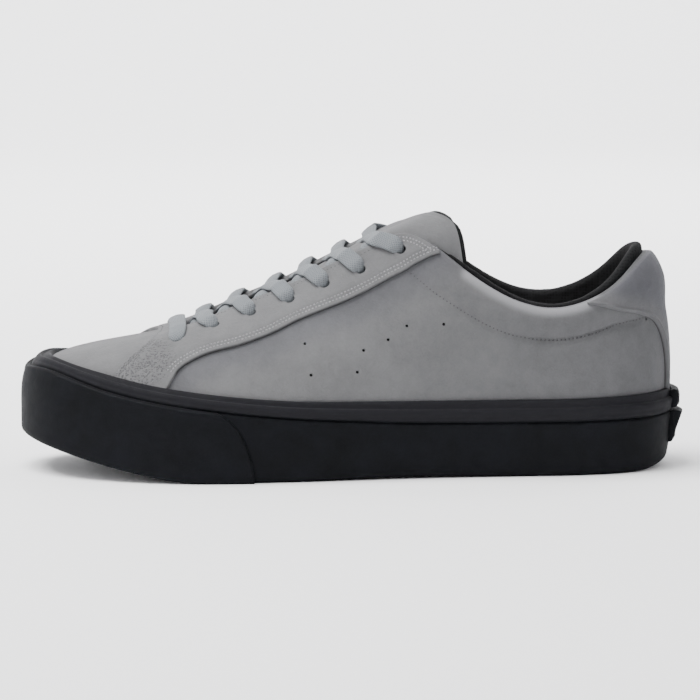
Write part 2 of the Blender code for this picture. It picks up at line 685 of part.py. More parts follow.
def cut_eyelets(targets, cutters):
    """One row of round holes on each side of the throat, through facing and upper."""
    for side in (-1, 1):
        for index in range(len(EYELETS)):
            place, normal = on_surface(*eyelet(index, side), 0.0)
            bm = bmesh.new()
            bmesh.ops.create_cone(
                bm, cap_ends=True, segments=PUNCH_SIDES, radius1=EYELET_RADIUS,
                radius2=EYELET_RADIUS, depth=PUNCH_LENGTH,
            )
            mesh = bpy.data.meshes.new("eyelet_punch")
            bm.to_mesh(mesh)
            bm.free()
            punch = bpy.data.objects.new(f"eyelet_punch_{side}_{index}", mesh)
            cutters.objects.link(punch)
            punch.location = place
            punch.rotation_mode = "QUATERNION"
            punch.rotation_quaternion = Vector(normal).to_track_quat("Z", "Y")
            punch.hide_render = True
            punch.display_type = "WIRE"
    for target in targets:
        cut = target.modifiers.new("eyelets", "BOOLEAN")
        cut.operation = "DIFFERENCE"
        cut.operand_type = "COLLECTION"
        cut.collection = cutters
        cut.solver = "EXACT"


def throat_row(x, side):
    """Section row at which the throat edge passes a place along the shoe."""
    rows = np.linspace(0, 10, 201)
    row = float(np.interp(x, TOE_X + SOLE_LENGTH * EDGE_X(rows), rows))
    return row if side < 0 else ROWS_AROUND - row


def lace_over_facing(index, side, edge_x):
    """Centre line and facing of a lace from its eyelet hole up to the throat edge."""
    row, v = eyelet(index, side)
    edge = throat_row(edge_x, side)
    return [
        np.concatenate(on_surface(row + (edge - row) * t, v + (1 - v) * t, LACE_OUT + LACE_EDGE_LIFT * t))
        for t in FACING_STEPS
    ]


def lace_path(index, side):
    """A lace from its eyelet over the facing, across the throat towards the next lower eyelet."""
    start = on_surface(*eyelet(index, side), 0.0)[0]
    target = on_surface(*eyelet(index - 1, -side), 0.0)[0]
    points = lace_over_facing(index, side, start[0] - LACE_LEAN / 2)
    front = TOE_X + SOLE_LENGTH * EDGE_X(0) + 0.6 * LACE_WIDTH
    landing = throat_row(max(target[0] + LACE_LEAN, front), -side)
    far = np.concatenate(on_surface(landing, 1.0, LACE_OUT))
    across = [points[-1] + (far - points[-1]) * share for share in ACROSS_STEPS]
    for point, share in zip(across, ACROSS_STEPS):
        point[2] -= LACE_SAG * math.sin(math.pi * share) ** 2
    across[1][2] -= side * LACE_THICKNESS * LACE_OVER
    across[2][2] -= LACE_THICKNESS / 2
    return resample(np.array(points + across), LACE_POINTS)


def lace_strip(name, path, material, parts):
    """A flat strip with rounded sides along its centre line, lying square to the given facings."""
    centre, facing = path[:, :3], path[:, 3:]
    along = unit(np.gradient(centre, axis=0))
    up = unit(facing - along * (facing * along).sum(-1, keepdims=True))
    across = np.cross(along, up)
    grid = []
    for angle in (np.arange(8) + 0.5) * math.tau / 8:
        c, s = (math.copysign(abs(f(angle)) ** 0.7, f(angle)) for f in (math.cos, math.sin))
        grid.append(centre + across * (LACE_WIDTH / 2 * c) + up * (LACE_THICKNESS / 2 * s))
    return loft(name, np.stack(grid, 1), material, parts)


def level_at_x(row, x):
    """The v at which a section of the vamp passes a place along the shoe."""
    samples = np.linspace(0.3, 1, 141)
    return float(np.interp(x, upper_surface(np.full(len(samples), row), samples)[:, 0], samples))


def build_laces(material, parts, cutters):
    """A straight bar at the lowest eyelets, then a crossing for each pair above them."""
    row, v = eyelet(0, -1)
    front = TOE_X + SOLE_LENGTH * EDGE_X(0) - LACE_WIDTH / 2
    rows = [(row, v)] + [(row * share, level_at_x(row * share, front)) for share in BAR_STEPS]
    rows += [(-row, level) for row, level in rows[-2::-1]]
    bar = [np.concatenate(on_surface(row, level, LACE_OUT)) for row, level in rows]
    lace_strip("lace_bar", resample(np.array(bar), LACE_POINTS), material, parts)
    for index in range(1, len(EYELETS)):
        over = lace_strip(f"lace_crossing_{index}", lace_path(index, -1), material, parts)
        under = lace_strip(f"lace_under_{index}", lace_path(index, 1), material, parts)
        join = over.modifiers.new("crossing", "BOOLEAN")
        join.operation = "UNION"
        join.object = under
        join.solver = "EXACT"
        under.hide_render = True
        under.display_type = "WIRE"
        parts.objects.unlink(under)
        cutters.objects.link(under)


def heel_piece(name, profile, material, parts):
    """A raised rubber piece on the back of the foxing: share of the height, share of the stand-off."""
    shares = np.array([share for share, _ in profile])
    along = np.linspace(-1, 1, 7)
    rows = HEEL_ROW + HEEL_HALF_ROWS * along
    wall = np.max(np.interp(np.linspace(shares[0], shares[-1], 20), *zip(*SOLE_SIDE))) * FOXING_WALL
    grid_rows = rows[:, None] + 0 * shares[None]
    grid_shares = shares[None] + 0 * grid_rows
    under = sole_side(grid_rows, grid_shares, np.full(grid_rows.shape, wall + 2 * GAP))
    stand = BADGE_STANDS_OFF * np.array([out for _, out in profile])
    ends = 1 - 0.35 * along**6
    over = sole_side(grid_rows, grid_shares, wall + GAP + stand[None] * ends[:, None])
    return loft(name, np.concatenate([over, under[:, ::-1]], 1), material, parts)


def clear_scene():
    for obj in list(bpy.data.objects):
        bpy.data.objects.remove(obj, do_unlink=True)


def make_material(name):
    colour, roughness = COLOURS[name]
    material = bpy.data.materials.new(name)
    material.use_nodes = True
    shader = material.node_tree.nodes["Principled BSDF"]
    shader.inputs["Base Color"].default_value = (*colour, 1)
    shader.inputs["Roughness"].default_value = roughness
    shader.inputs["Metallic"].default_value = 0.0
    return material


def collection(name):
    made = bpy.data.collections.new(name)
    bpy.context.scene.collection.children.link(made)
    return made


def main():
    clear_scene()
    parts, cutters = collection("skate_shoe"), collection("cutters")
    punches = bpy.data.collections.new("eyelet_punches")
    cutters.children.link(punches)
    materials = {name: make_material(name) for name in COLOURS}
    build_outsole(materials["rubber"], parts)
    build_filler(materials["foam"], parts)
    build_foxing(materials["rubber"], parts)
    build_bumper(materials["rubber"], parts)
    heel_piece("heel_badge", HEEL_BADGE, materials["rubber"], parts)
    heel_piece("heel_strip", HEEL_STRIP, materials["rubber"], parts)
    build_insole(materials["lining"], parts)
    upper = build_upper(materials["suede"], parts)
    eyestay = build_eyestay(materials["suede"], parts)
    build_heel_tab(materials["suede"], parts)
    build_tongue(materials["suede"], parts)
    cut_eyelets((upper, eyestay), punches)
    build_laces(materials["lace"], parts, cutters)


main()
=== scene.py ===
import math

import bmesh
import bpy
import numpy as np
from mathutils import Matrix, Vector
from mathutils.bvhtree import BVHTree
from mathutils.kdtree import KDTree


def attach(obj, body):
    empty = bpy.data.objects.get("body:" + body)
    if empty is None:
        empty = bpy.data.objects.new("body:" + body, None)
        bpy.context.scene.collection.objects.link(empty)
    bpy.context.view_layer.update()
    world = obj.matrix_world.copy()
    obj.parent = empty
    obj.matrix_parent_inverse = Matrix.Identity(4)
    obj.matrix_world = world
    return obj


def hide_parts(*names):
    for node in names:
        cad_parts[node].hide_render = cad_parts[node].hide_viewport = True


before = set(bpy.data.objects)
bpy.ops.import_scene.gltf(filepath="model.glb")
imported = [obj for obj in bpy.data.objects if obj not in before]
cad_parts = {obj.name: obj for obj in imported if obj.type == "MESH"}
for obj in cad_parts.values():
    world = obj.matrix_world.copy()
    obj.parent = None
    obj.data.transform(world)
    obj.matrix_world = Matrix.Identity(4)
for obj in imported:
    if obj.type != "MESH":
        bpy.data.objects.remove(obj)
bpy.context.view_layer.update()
print("frame loaded,", len(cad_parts), "CAD nodes")


# The shoe's form, in metres: toe at -X, lateral side at -Y, the same sizes as the CAD part

shoe = {
    "soleLength": 0.288,
    "ballWidth": 0.105,
    "rimHeight": 0.035,
    "toeSpring": 0.0178,
    "springLength": 0.077,
    "springPower": 1.4,
    "heelBevel": 0.0036,
    "heelBevelLength": 0.020,
    "archLift": 0.0008,
    "outsole": 0.005,
    "forefootFiller": 0.006,
    "heelFiller": 0.011,
    "foxingWall": 0.004,
    "bumper": 0.0016,
    "badgeStandsOff": 0.0052,
    "instep": 0.108,
    "wall": 0.0022,
    "collarPadding": 0.0050,
    "collarRoll": 0.0020,
    "edgeSpread": 0.020,
    "gap": 0.0003,
}
toeX = shoe["bumper"] + shoe["gap"] - (
    shoe["soleLength"] + shoe["bumper"] + shoe["gap"] + shoe["badgeStandsOff"]
) / 2

# One row a section, toe tip to heel: sole outline, rim height and the side groove's share of it,
# throat and collar edge, and the wall's handles
sectionColumns = (
    "along", "lateral", "medial", "rim", "groove",
    "edgeAlong", "edgeLateral", "edgeMedial", "edgeUp",
    "rise", "lean", "reach", "pitch",
)
sections = (
    (0.000, 0.076, 0.076, 1.405, 0.835, 0.2515, 0.022, 0.022, 0.580, 0.72, 1, 0.84, 11),
    (0.010, -0.086, 0.233, 1.405, 0.862, 0.2527, -0.018, 0.060, 0.581, 0.71, 1, 0.83, 11),
    (0.041, -0.233, 0.352, 1.364, 0.880, 0.2580, -0.055, 0.095, 0.585, 0.67, 2, 0.77, 13),
    (0.094, -0.352, 0.438, 1.290, 0.845, 0.2695, -0.087, 0.125, 0.600, 0.60, 2, 0.64, 16),
    (0.167, -0.441, 0.486, 1.185, 0.828, 0.2960, -0.108, 0.144, 0.634, 0.52, 3, 0.52, 21),
    (0.250, -0.493, 0.500, 1.100, 0.820, 0.3439, -0.124, 0.158, 0.690, 0.46, 4, 0.44, 28),
    (0.337, -0.500, 0.474, 1.035, 0.803, 0.4047, -0.142, 0.172, 0.757, 0.42, 4, 0.40, 36),
    (0.424, -0.479, 0.427, 0.995, 0.778, 0.4637, -0.160, 0.184, 0.838, 0.39, 4, 0.38, 44),
    (0.507, -0.446, 0.384, 0.980, 0.748, 0.5210, -0.174, 0.192, 0.915, 0.37, 4, 0.37, 51),
    (0.570, -0.421, 0.364, 0.973, 0.722, 0.5766, -0.194, 0.204, 0.977, 0.36, 4, 0.36, 57),
    (0.632, -0.402, 0.354, 0.969, 0.712, 0.6252, -0.262, 0.257, 0.931, 0.36, 4, 0.37, 68),
    (0.695, -0.390, 0.352, 0.967, 0.711, 0.6807, -0.324, 0.305, 0.815, 0.37, 5, 0.36, 80),
    (0.764, -0.380, 0.357, 0.967, 0.711, 0.7536, -0.336, 0.314, 0.706, 0.36, 6, 0.34, 86),
    (0.840, -0.370, 0.356, 0.966, 0.711, 0.8266, -0.311, 0.295, 0.683, 0.36, 7, 0.34, 82),
    (0.917, -0.324, 0.317, 0.980, 0.711, 0.8960, -0.246, 0.238, 0.754, 0.36, 8, 0.34, 80),
    (0.974, -0.205, 0.203, 0.991, 0.711, 0.9405, -0.138, 0.136, 0.852, 0.38, 9, 0.34, 74),
    (1.000, 0.000, 0.000, 1.000, 0.711, 0.9590, 0.000, 0.000, 0.882, 0.40, 10, 0.34, 68),
)
heelRow = len(sections) - 1
rowsAround = 2 * heelRow


def periodicSpline(values):
    values = np.asarray(values, float)
    count = len(values)
    spread = 4 * np.eye(count) + np.roll(np.eye(count), 1, 0) + np.roll(np.eye(count), -1, 0)
    bend = np.linalg.solve(spread, 6 * (np.roll(values, -1) - 2 * values + np.roll(values, 1)))

    def at(row):
        row = np.asarray(row, float) % count
        low = np.floor(row).astype(int) % count
        high = (low + 1) % count
        b = row - np.floor(row)
        a = 1 - b
        curve = ((a**3 - a) * bend[low] + (b**3 - b) * bend[high]) / 6
        return a * values[low] + b * values[high] + curve

    return at


def aroundShoe(column, other=None):
    there = [row[sectionColumns.index(column)] for row in sections]
    back = [row[sectionColumns.index(other or column)] for row in sections]
    return periodicSpline(there + back[-2:0:-1])


outlineX = aroundShoe("along")
outlineY = aroundShoe("lateral", "medial")
rimShare = aroundShoe("rim")
grooveShare = aroundShoe("groove")
edgeX = aroundShoe("edgeAlong")
edgeY = aroundShoe("edgeLateral", "edgeMedial")
edgeZ = aroundShoe("edgeUp")
wallRise, wallLean, wallReach, wallPitch = (aroundShoe(c) for c in ("rise", "lean", "reach", "pitch"))


def smoothStep(x, low, high):
    t = np.clip((np.asarray(x, float) - low) / (high - low), 0, 1)
    return t * t * (3 - 2 * t)


def unit(vectors):
    return vectors / np.maximum(np.linalg.norm(vectors, axis=-1, keepdims=True), 1e-12)


def groundHeight(x):
    fromToe = toeX + shoe["springLength"] - x
    spring = shoe["toeSpring"] * (np.clip(fromToe, 0, None) / shoe["springLength"]) ** shoe["springPower"]
    toHeel = x - (toeX + shoe["soleLength"] - shoe["heelBevelLength"])
    bevel = shoe["heelBevel"] * (np.clip(toHeel, 0, None) / shoe["heelBevelLength"]) ** 2
    share = (x - toeX) / shoe["soleLength"]
    arch = shoe["archLift"] * smoothStep(share, 0.42, 0.55) * (1 - smoothStep(share, 0.62, 0.75))
    return spring + bevel + arch


def seatHeight(x):
    share = (x - toeX) / shoe["soleLength"]
    thicker = shoe["heelFiller"] - shoe["forefootFiller"]
    filler = shoe["forefootFiller"] + thicker * smoothStep(share, 0.40, 0.75)
    return groundHeight(x) + shoe["outsole"] + shoe["gap"] + filler


def wallLine(row):  # where the upper meets the sole, in plan, with its outward normal
    def point(r):
        return np.stack([toeX + shoe["soleLength"] * outlineX(r), shoe["ballWidth"] * outlineY(r)], -1)

    tangent = unit(point(np.asarray(row) + 0.01) - point(np.asarray(row) - 0.01))
    normal = np.stack([tangent[..., 1], -tangent[..., 0]], -1)
    return point(row) - normal * (shoe["foxingWall"] + shoe["gap"]), normal


def upperSurface(row, v):  # v runs from 0 at the sole to 1 at the throat or collar edge
    row, v = np.broadcast_arrays(np.asarray(row, float), np.asarray(v, float))
    footXY, normal = wallLine(row)
    foot = np.concatenate([footXY, (seatHeight(footXY[..., 0]) + shoe["gap"])[..., None]], -1)
    across, up = shoe["ballWidth"] * edgeY(row), shoe["instep"] * edgeZ(row)
    edge = np.stack([toeX + shoe["soleLength"] * edgeX(row), across, up], -1)
    outward = unit(foot[..., :2] - edge[..., :2] + normal * shoe["edgeSpread"])
    lean, pitch = np.radians(wallLean(row)), np.radians(wallPitch(row))
    climb = wallRise(row) * (edge[..., 2] - foot[..., 2])
    low = foot + np.concatenate(
        [normal * (climb * np.sin(lean))[..., None], (climb * np.cos(lean))[..., None]], -1
    )
    span = wallReach(row) * np.linalg.norm(edge - foot, axis=-1)
    high = edge + np.concatenate(
        [outward * (span * np.cos(pitch))[..., None], -(span * np.sin(pitch))[..., None]], -1
    )
    t = v[..., None]
    return foot * (1 - t) ** 3 + 3 * low * t * (1 - t) ** 2 + 3 * high * t**2 * (1 - t) + edge * t**3


def upperNormal(row, v):
    v = np.clip(v, 0.002, 0.998)
    step = 0.002
    along = upperSurface(row + step, v) - upperSurface(row - step, v)
    up = upperSurface(row, v + step) - upperSurface(row, v - step)
    return unit(np.cross(along, up))


def levelAt(rows, heights):  # rows (n,), heights (n, k): the v at which each section reaches each height
    samples = np.linspace(0, 0.9, 121)
    lines = upperSurface(rows[:, None], samples[None])[..., 2]
    return np.stack([np.interp(height, line, samples) for height, line in zip(heights, lines)])


rimRows = np.linspace(0, rowsAround, 1025)
rimLevels = levelAt(rimRows, (shoe["rimHeight"] * rimShare(rimRows))[:, None])[:, 0]


def rimLevel(row):
    return np.interp(np.asarray(row, float) % rowsAround, rimRows, rimLevels)


def aboveRim(row, share):
    low = rimLevel(row)
    return low + (1 - low) * share


def curveBetween(t, step, low, lowSlope, high, highSlope):  # cubic from one point to the next
    return (
        (2 * t**3 - 3 * t**2 + 1) * low + (t**3 - 2 * t**2 + t) * step * lowSlope
        + (3 * t**2 - 2 * t**3) * high + (t**3 - t**2) * step * highSlope
    )


def runAlong(line):  # distance run at each point of a line
    return np.concatenate([[0], np.cumsum(np.linalg.norm(np.diff(line, axis=0), axis=-1))])


def followTable(table, at):  # smooth curve through a table's points, without overshoot
    x, y = np.array(table).T
    step = np.diff(x)
    slopes = np.diff(y) / step
    left, right = slopes[:-1], slopes[1:]
    turning = left * right <= 0
    weight = 2 * step[1:] + step[:-1], step[1:] + 2 * step[:-1]
    before, after = np.where(turning, 1, left), np.where(turning, 1, right)
    harmonic = sum(weight) / (weight[0] / before + weight[1] / after)
    tangent = np.concatenate([slopes[:1], np.where(turning, 0, harmonic), slopes[-1:]])
    low = np.clip(np.searchsorted(x, at, side="right") - 1, 0, len(x) - 2)
    h = step[low]
    t = np.clip((at - x[low]) / h, 0, 1)
    return curveBetween(t, h, y[low], tangent[low], y[low + 1], tangent[low + 1])


def fromToe(row):  # the same row on the lateral side, for tables that serve both sides
    row = np.asarray(row, float) % rowsAround
    return np.minimum(row, rowsAround - row)


def fromHeel(row):
    return np.abs(np.asarray(row, float) % rowsAround - heelRow)


# Soft forms on the suede: padding above the collar's seam, its channel, and a few slack places

softForms = {
    "collarBulge": 0.0030,
    "seamDepth": 0.00070,
    "seamWidth": 0.0019,
    "collarStart": 9.35,
    "ripple": 0.00010,
}
collarSeam = (  # section row, share of the way from the sole's rim to the edge
    (8.90, 0.802), (9.42, 0.742), (9.99, 0.696), (10.63, 0.682), (11.21, 0.663), (11.77, 0.647),
    (12.50, 0.657), (13.22, 0.660), (13.85, 0.664), (14.72, 0.593), (15.30, 0.560), (16.00, 0.550),
)
# row, share, turn from the section in degrees, half length, half width, depth in millimetres
slackPlaces = (
    (5.3, 0.24, 35, 13, 3.5, -0.34),
    (5.9, 0.30, 28, 11, 3.0, 0.22),
    (6.7, 0.14, 60, 10, 3.5, -0.22),
    (8.1, 0.56, 70, 14, 4.0, -0.22),
    (9.3, 0.22, 80, 20, 5.0, -0.30),
    (10.7, 0.34, 75, 18, 4.0, -0.34),
    (11.6, 0.17, 84, 16, 4.5, 0.24),
    (12.3, 0.40, 100, 15, 3.5, -0.36),
    (13.4, 0.28, 105, 14, 4.0, -0.34),
    (14.3, 0.42, 60, 11, 3.0, -0.34),
    (1.0, 0.34, 90, 11, 4.5, -0.26),
    (2.1, 0.30, 75, 12, 4.5, -0.24),
    (2.6, 0.62, 40, 9, 3.5, -0.22),
    (27.4, 0.26, 60, 13, 4.0, -0.34),
    (25.6, 0.30, 75, 15, 4.5, -0.30),
    (22.4, 0.30, 85, 20, 5.0, -0.34),
    (20.2, 0.24, 95, 15, 4.0, -0.34),
    (18.3, 0.38, 100, 12, 4.0, -0.32),
    (29.8, 0.36, 80, 12, 4.5, -0.26),
)


def relief(row, v, point):
    low = rimLevel(row)
    share = (v - low) / (1 - low)
    side = fromToe(row)
    seam = followTable(collarSeam, np.clip(side, collarSeam[0][0], heelRow))
    window = smoothStep(side, softForms["collarStart"], softForms["collarStart"] + 1.2)
    t = np.clip((share - seam) / (1 - seam), 0, 1)
    roll = np.sqrt(1 - np.clip((t - 0.60) / 0.40, 0, 1) ** 2)  # fullest below the edge, then rolled over
    out = softForms["collarBulge"] * window * smoothStep(t, 0, 0.60) * roll
    span = np.linalg.norm(upperSurface(row, 1.0) - upperSurface(row, low), axis=-1)
    across = (share - seam) * span / softForms["seamWidth"]
    channel = smoothStep(side, 8.9, 9.5) * (1 - smoothStep(side, 14.6, 14.9))
    out = out - softForms["seamDepth"] * channel * np.exp(-across**2)
    for placeRow, placeShare, turn, halfLength, halfWidth, depth in slackPlaces:
        at = np.array([float(placeRow)])
        level = aboveRim(at, placeShare)
        centre, normal = upperSurface(at, level)[0], upperNormal(at, level)[0]
        upward = unit(np.cross(normal, np.cross([0, 0, 1.0], normal)))
        sideways = np.cross(upward, normal)
        angle = math.radians(turn)
        line = upward * math.cos(angle) + sideways * math.sin(angle)
        cross = np.cross(line, normal)
        offset = (point - centre) * 1000
        near = np.exp(-((offset @ line) / halfLength) ** 2 - ((offset @ cross) / halfWidth) ** 2)
        near = near * np.exp(-((offset @ normal) / 12.0) ** 2)
        out = out + depth / 1000 * near
    x, y, z = (point[..., i] * 1000 for i in range(3))
    waves = np.sin(x / 9.1 + z / 6.3) + np.sin(y / 7.7 - x / 12.9 + 1.7) + np.sin(z / 5.1 + y / 11.3 + 0.6)
    return out + softForms["ripple"] * waves / 2


def skin(row, v, out=0.0):  # a point standing out from the suede, its soft forms included
    row, v, out = np.broadcast_arrays(*(np.asarray(a, float) for a in (row, v, out)))
    point, normal = upperSurface(row, v), upperNormal(row, v)
    return point + normal * (out + relief(row, v, point))[..., None]


def wallAt(row, v):
    padded = 1 - smoothStep(fromHeel(row), heelRow - 11.8, heelRow - 9.9)
    return shoe["wall"] + shoe["collarPadding"] * padded * smoothStep(v, 0.62, 0.86)


def rollAt(row):
    sides = 1 - smoothStep(fromHeel(row), heelRow - 11.3, heelRow - 9.7)
    back = 1 - smoothStep(fromHeel(row), 0.6, 2.8)
    return shoe["collarRoll"] * (sides + 0.8 * back)


# Mesh helpers

def newObject(name, data):
    made = bpy.data.objects.new(name, data)
    bpy.context.scene.collection.objects.link(made)
    return made


def pointTree(points):
    tree = KDTree(len(points))
    for i, p in enumerate(points):
        tree.insert(p, i)
    tree.balance()
    return tree


def gridObject(name, grid, closedRows=False, closedAcross=False, material=None, sharpAngle=60):
    count, width = grid.shape[:2]
    vertices = grid.reshape(-1, 3)
    i = np.arange(count if closedRows else count - 1)[:, None]
    j = np.arange(width if closedAcross else width - 1)[None]
    a, b = i * width + j, i * width + (j + 1) % width
    c, d = (i + 1) % count * width + (j + 1) % width, (i + 1) % count * width + j
    faces = np.stack([a + 0 * b, b + 0 * a, c, d], -1).reshape(-1, 4).tolist()
    uAlong = np.concatenate([[0], np.cumsum(np.linalg.norm(np.diff(grid, axis=0), axis=-1).mean(1))])
    vAcross = np.concatenate([[0], np.cumsum(np.linalg.norm(np.diff(grid, axis=1), axis=-1).mean(0))])
    uEnd = uAlong[-1] + np.linalg.norm(grid[0] - grid[-1], axis=-1).mean()
    vEnd = vAcross[-1] + np.linalg.norm(grid[:, 0] - grid[:, -1], axis=-1).mean()
    if closedAcross and not closedRows:  # flat ends, closed with strips from side to side
        for start, flip in ((0, False), ((count - 1) * width, True)):
            for k in range(width // 2):
                ring = [start + k, start + k + 1, start + width - 2 - k, start + width - 1 - k]
                ring = list(dict.fromkeys(ring))
                if k + 1 <= width - 2 - k and len(ring) > 2:
                    faces.append(ring[::-1] if flip else ring)
    mesh = bpy.data.meshes.new(name)
    mesh.from_pydata(vertices.tolist(), [], faces)
    layer = mesh.uv_layers.new(name="surface")
    loops = np.zeros(len(mesh.loops), int)
    mesh.loops.foreach_get("vertex_index", loops)
    uv = np.stack([uAlong[loops // width], vAcross[loops % width]], -1)
    quads = (count if closedRows else count - 1) * (width if closedAcross else width - 1)
    loopRows = (loops[: quads * 4] // width).reshape(-1, 4)
    loopCols = (loops[: quads * 4] % width).reshape(-1, 4)
    wrapRows = (loopRows == 0) & (loopRows.max(1) == count - 1)[:, None] & closedRows & (count > 2)
    wrapCols = (loopCols == 0) & (loopCols.max(1) == width - 1)[:, None] & closedAcross & (width > 2)
    uv[: quads * 4, 0][wrapRows.ravel()] = uEnd
    uv[: quads * 4, 1][wrapCols.ravel()] = vEnd
    layer.data.foreach_set("uv", uv.astype(np.float32).ravel())
    return finishObject(name, mesh, material, sharpAngle)


def finishObject(name, mesh, material=None, sharpAngle=60):
    bm = bmesh.new()
    bm.from_mesh(mesh)
    bmesh.ops.remove_doubles(bm, verts=bm.verts, dist=1e-7)
    bmesh.ops.recalc_face_normals(bm, faces=bm.faces)
    if bm.calc_volume(signed=True) < 0:
        bmesh.ops.reverse_faces(bm, faces=bm.faces)
    bm.to_mesh(mesh)
    bm.free()
    mesh.shade_smooth()
    mesh.set_sharp_from_angle(angle=math.radians(sharpAngle))
    if material:
        mesh.materials.append(material)
    return newObject(name, mesh)


def meshPoints(mesh):
    points = np.zeros(len(mesh.vertices) * 3)
    mesh.vertices.foreach_get("co", points)
    return points.reshape(-1, 3)


def setPoints(mesh, points):
    mesh.vertices.foreach_set("co", points.astype(np.float32).ravel())
    mesh.update()


def addAttribute(mesh, name, values):
    layer = mesh.attributes.new(name, "FLOAT", "POINT")
    layer.data.foreach_set("value", np.asarray(values, np.float32).ravel())


def bakeModifiers(piece):  # the evaluated result becomes the piece's plain mesh
    graph = bpy.context.evaluated_depsgraph_get()
    mesh = bpy.data.meshes.new_from_object(piece.evaluated_get(graph))
    piece.modifiers.clear()
    piece.data = mesh
    return piece


def punch(piece, holes, sides=24):  # holes: place, direction, radius, length
    bm = bmesh.new()
    for place, direction, radius, length in holes:
        turn = Vector(direction).to_track_quat("Z", "Y").to_matrix().to_4x4()
        bmesh.ops.create_cone(
            bm, cap_ends=True, segments=sides, radius1=radius, radius2=radius, depth=length,
            matrix=Matrix.Translation(Vector(place)) @ turn,
        )
    mesh = bpy.data.meshes.new("punch")
    bm.to_mesh(mesh)
    bm.free()
    tool = newObject("punch", mesh)
    cut = piece.modifiers.new("holes", "BOOLEAN")
    cut.operation = "DIFFERENCE"
    cut.object = tool
    cut.solver = "EXACT"
    bakeModifiers(piece)
    bpy.data.objects.remove(tool)
    piece.data.set_sharp_from_angle(angle=math.radians(60))
    return piece


def finished(piece, slotName, *nodes):
    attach(piece, "root")
    if nodes:
        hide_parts(*nodes)
    triangles = sum(len(p.vertices) - 2 for p in piece.data.polygons)
    print("piece", piece.name, triangles, "triangles")
    return piece


# Materials

def linearColour(hexColour):
    parts = [int(hexColour[i:i + 2], 16) / 255 for i in (1, 3, 5)]
    return tuple(p / 12.92 if p <= 0.04045 else ((p + 0.055) / 1.055) ** 2.4 for p in parts) + (1,)


def addNode(tree, kind, inputs=None, output=0, stops=(), **settings):  # each input is a value or a socket
    node = tree.nodes.new(kind)
    for name, value in settings.items():
        setattr(node, name, value)
    for name, value in (inputs or {}).items():
        if isinstance(value, bpy.types.NodeSocket):
            tree.links.new(value, node.inputs[name])
        else:
            node.inputs[name].default_value = value
    for _ in stops[2:]:  # a ramp starts with two colours
        node.color_ramp.elements.new(0.5)
    for index, (position, colour) in enumerate(stops):
        element = node.color_ramp.elements[index]
        element.position = position
        element.color = linearColour(colour)
    return node if output is None else node.outputs[output]


def startMaterial(name, shaderInputs, textures):  # textures: grain in mm, detail, roughness, distortion
    material = bpy.data.materials.new(name)
    material.use_nodes = True
    tree = material.node_tree
    for socket, value in shaderInputs.items():
        tree.nodes["Principled BSDF"].inputs[socket].default_value = value
    place = addNode(tree, "ShaderNodeTexCoord", output="Object")
    made = []
    for grainMm, detail, roughness, distortion in textures:
        inputs = {
            "Vector": place, "Scale": 1000 / grainMm,
            "Detail": detail, "Roughness": roughness, "Distortion": distortion,
        }
        made.append(addNode(tree, "ShaderNodeTexNoise", inputs))
    return material, tree, place, *made


def toneColour(tree, parts, stops):  # textures summed by weight, then coloured
    tone = 0.0
    for texture, weight in parts:
        tone = addNode(tree, "ShaderNodeMath", {0: texture, 1: weight, 2: tone}, operation="MULTIPLY_ADD")
    return addNode(tree, "ShaderNodeValToRGB", {"Fac": tone}, stops=stops)


def finishMaterial(material, colour, bumps=()):  # bumps: height, strength, distance in metres
    tree = material.node_tree
    shader = tree.nodes["Principled BSDF"]
    tree.links.new(colour, shader.inputs["Base Color"])
    normal = None
    for height, strength, distance in bumps:
        inputs = {"Height": height, "Strength": strength, "Distance": distance}
        if normal:
            inputs["Normal"] = normal
        normal = addNode(tree, "ShaderNodeBump", inputs)
    if normal:
        tree.links.new(normal, shader.inputs["Normal"])
    return material


suedeLook = {
    "deep": "#575758",
    "middle": "#616162",
    "raised": "#6b6b6c",
    "textures": (  # clouds, mottle, fibre, grain; real nap is 0.1 to 0.2 mm, drawn coarser so that it shows
        (34, 3.0, 0.55, 0.6), (5.5, 4.0, 0.6, 0.4), (0.75, 3.0, 0.7, 0.0), (0.75 * 3.2, 2.0, 0.6, 1.5),
    ),
    "dotMm": 1.0,
    "rearShadeFrom": -0.02,
    "rearShadeTo": 0.125,
    "tints": (  # the mask, its colour and how it is laid on
        # painted shadow along the folded cut edges of the facing and backstay
        ("paintedEdgeShadow", "#454446", "MULTIPLY"),
        ("paintedCollarHighlight", "#88888a", "MIX"),  # painted highlight: the rolled collar edge drawn lighter where the light catches it
        ("coolTone", "#e2e2e9", "MULTIPLY"),
        ("paintedShadeUnderFacing", "#dddde2", "MULTIPLY"),  # painted shade where the quarter runs in under the facing
        ("paintedRearShade", "#dcdcde", "MULTIPLY"),  # painted shade, darker towards the heel
        ("speckle", "#c6c5c9", "MULTIPLY"),
    ),
}


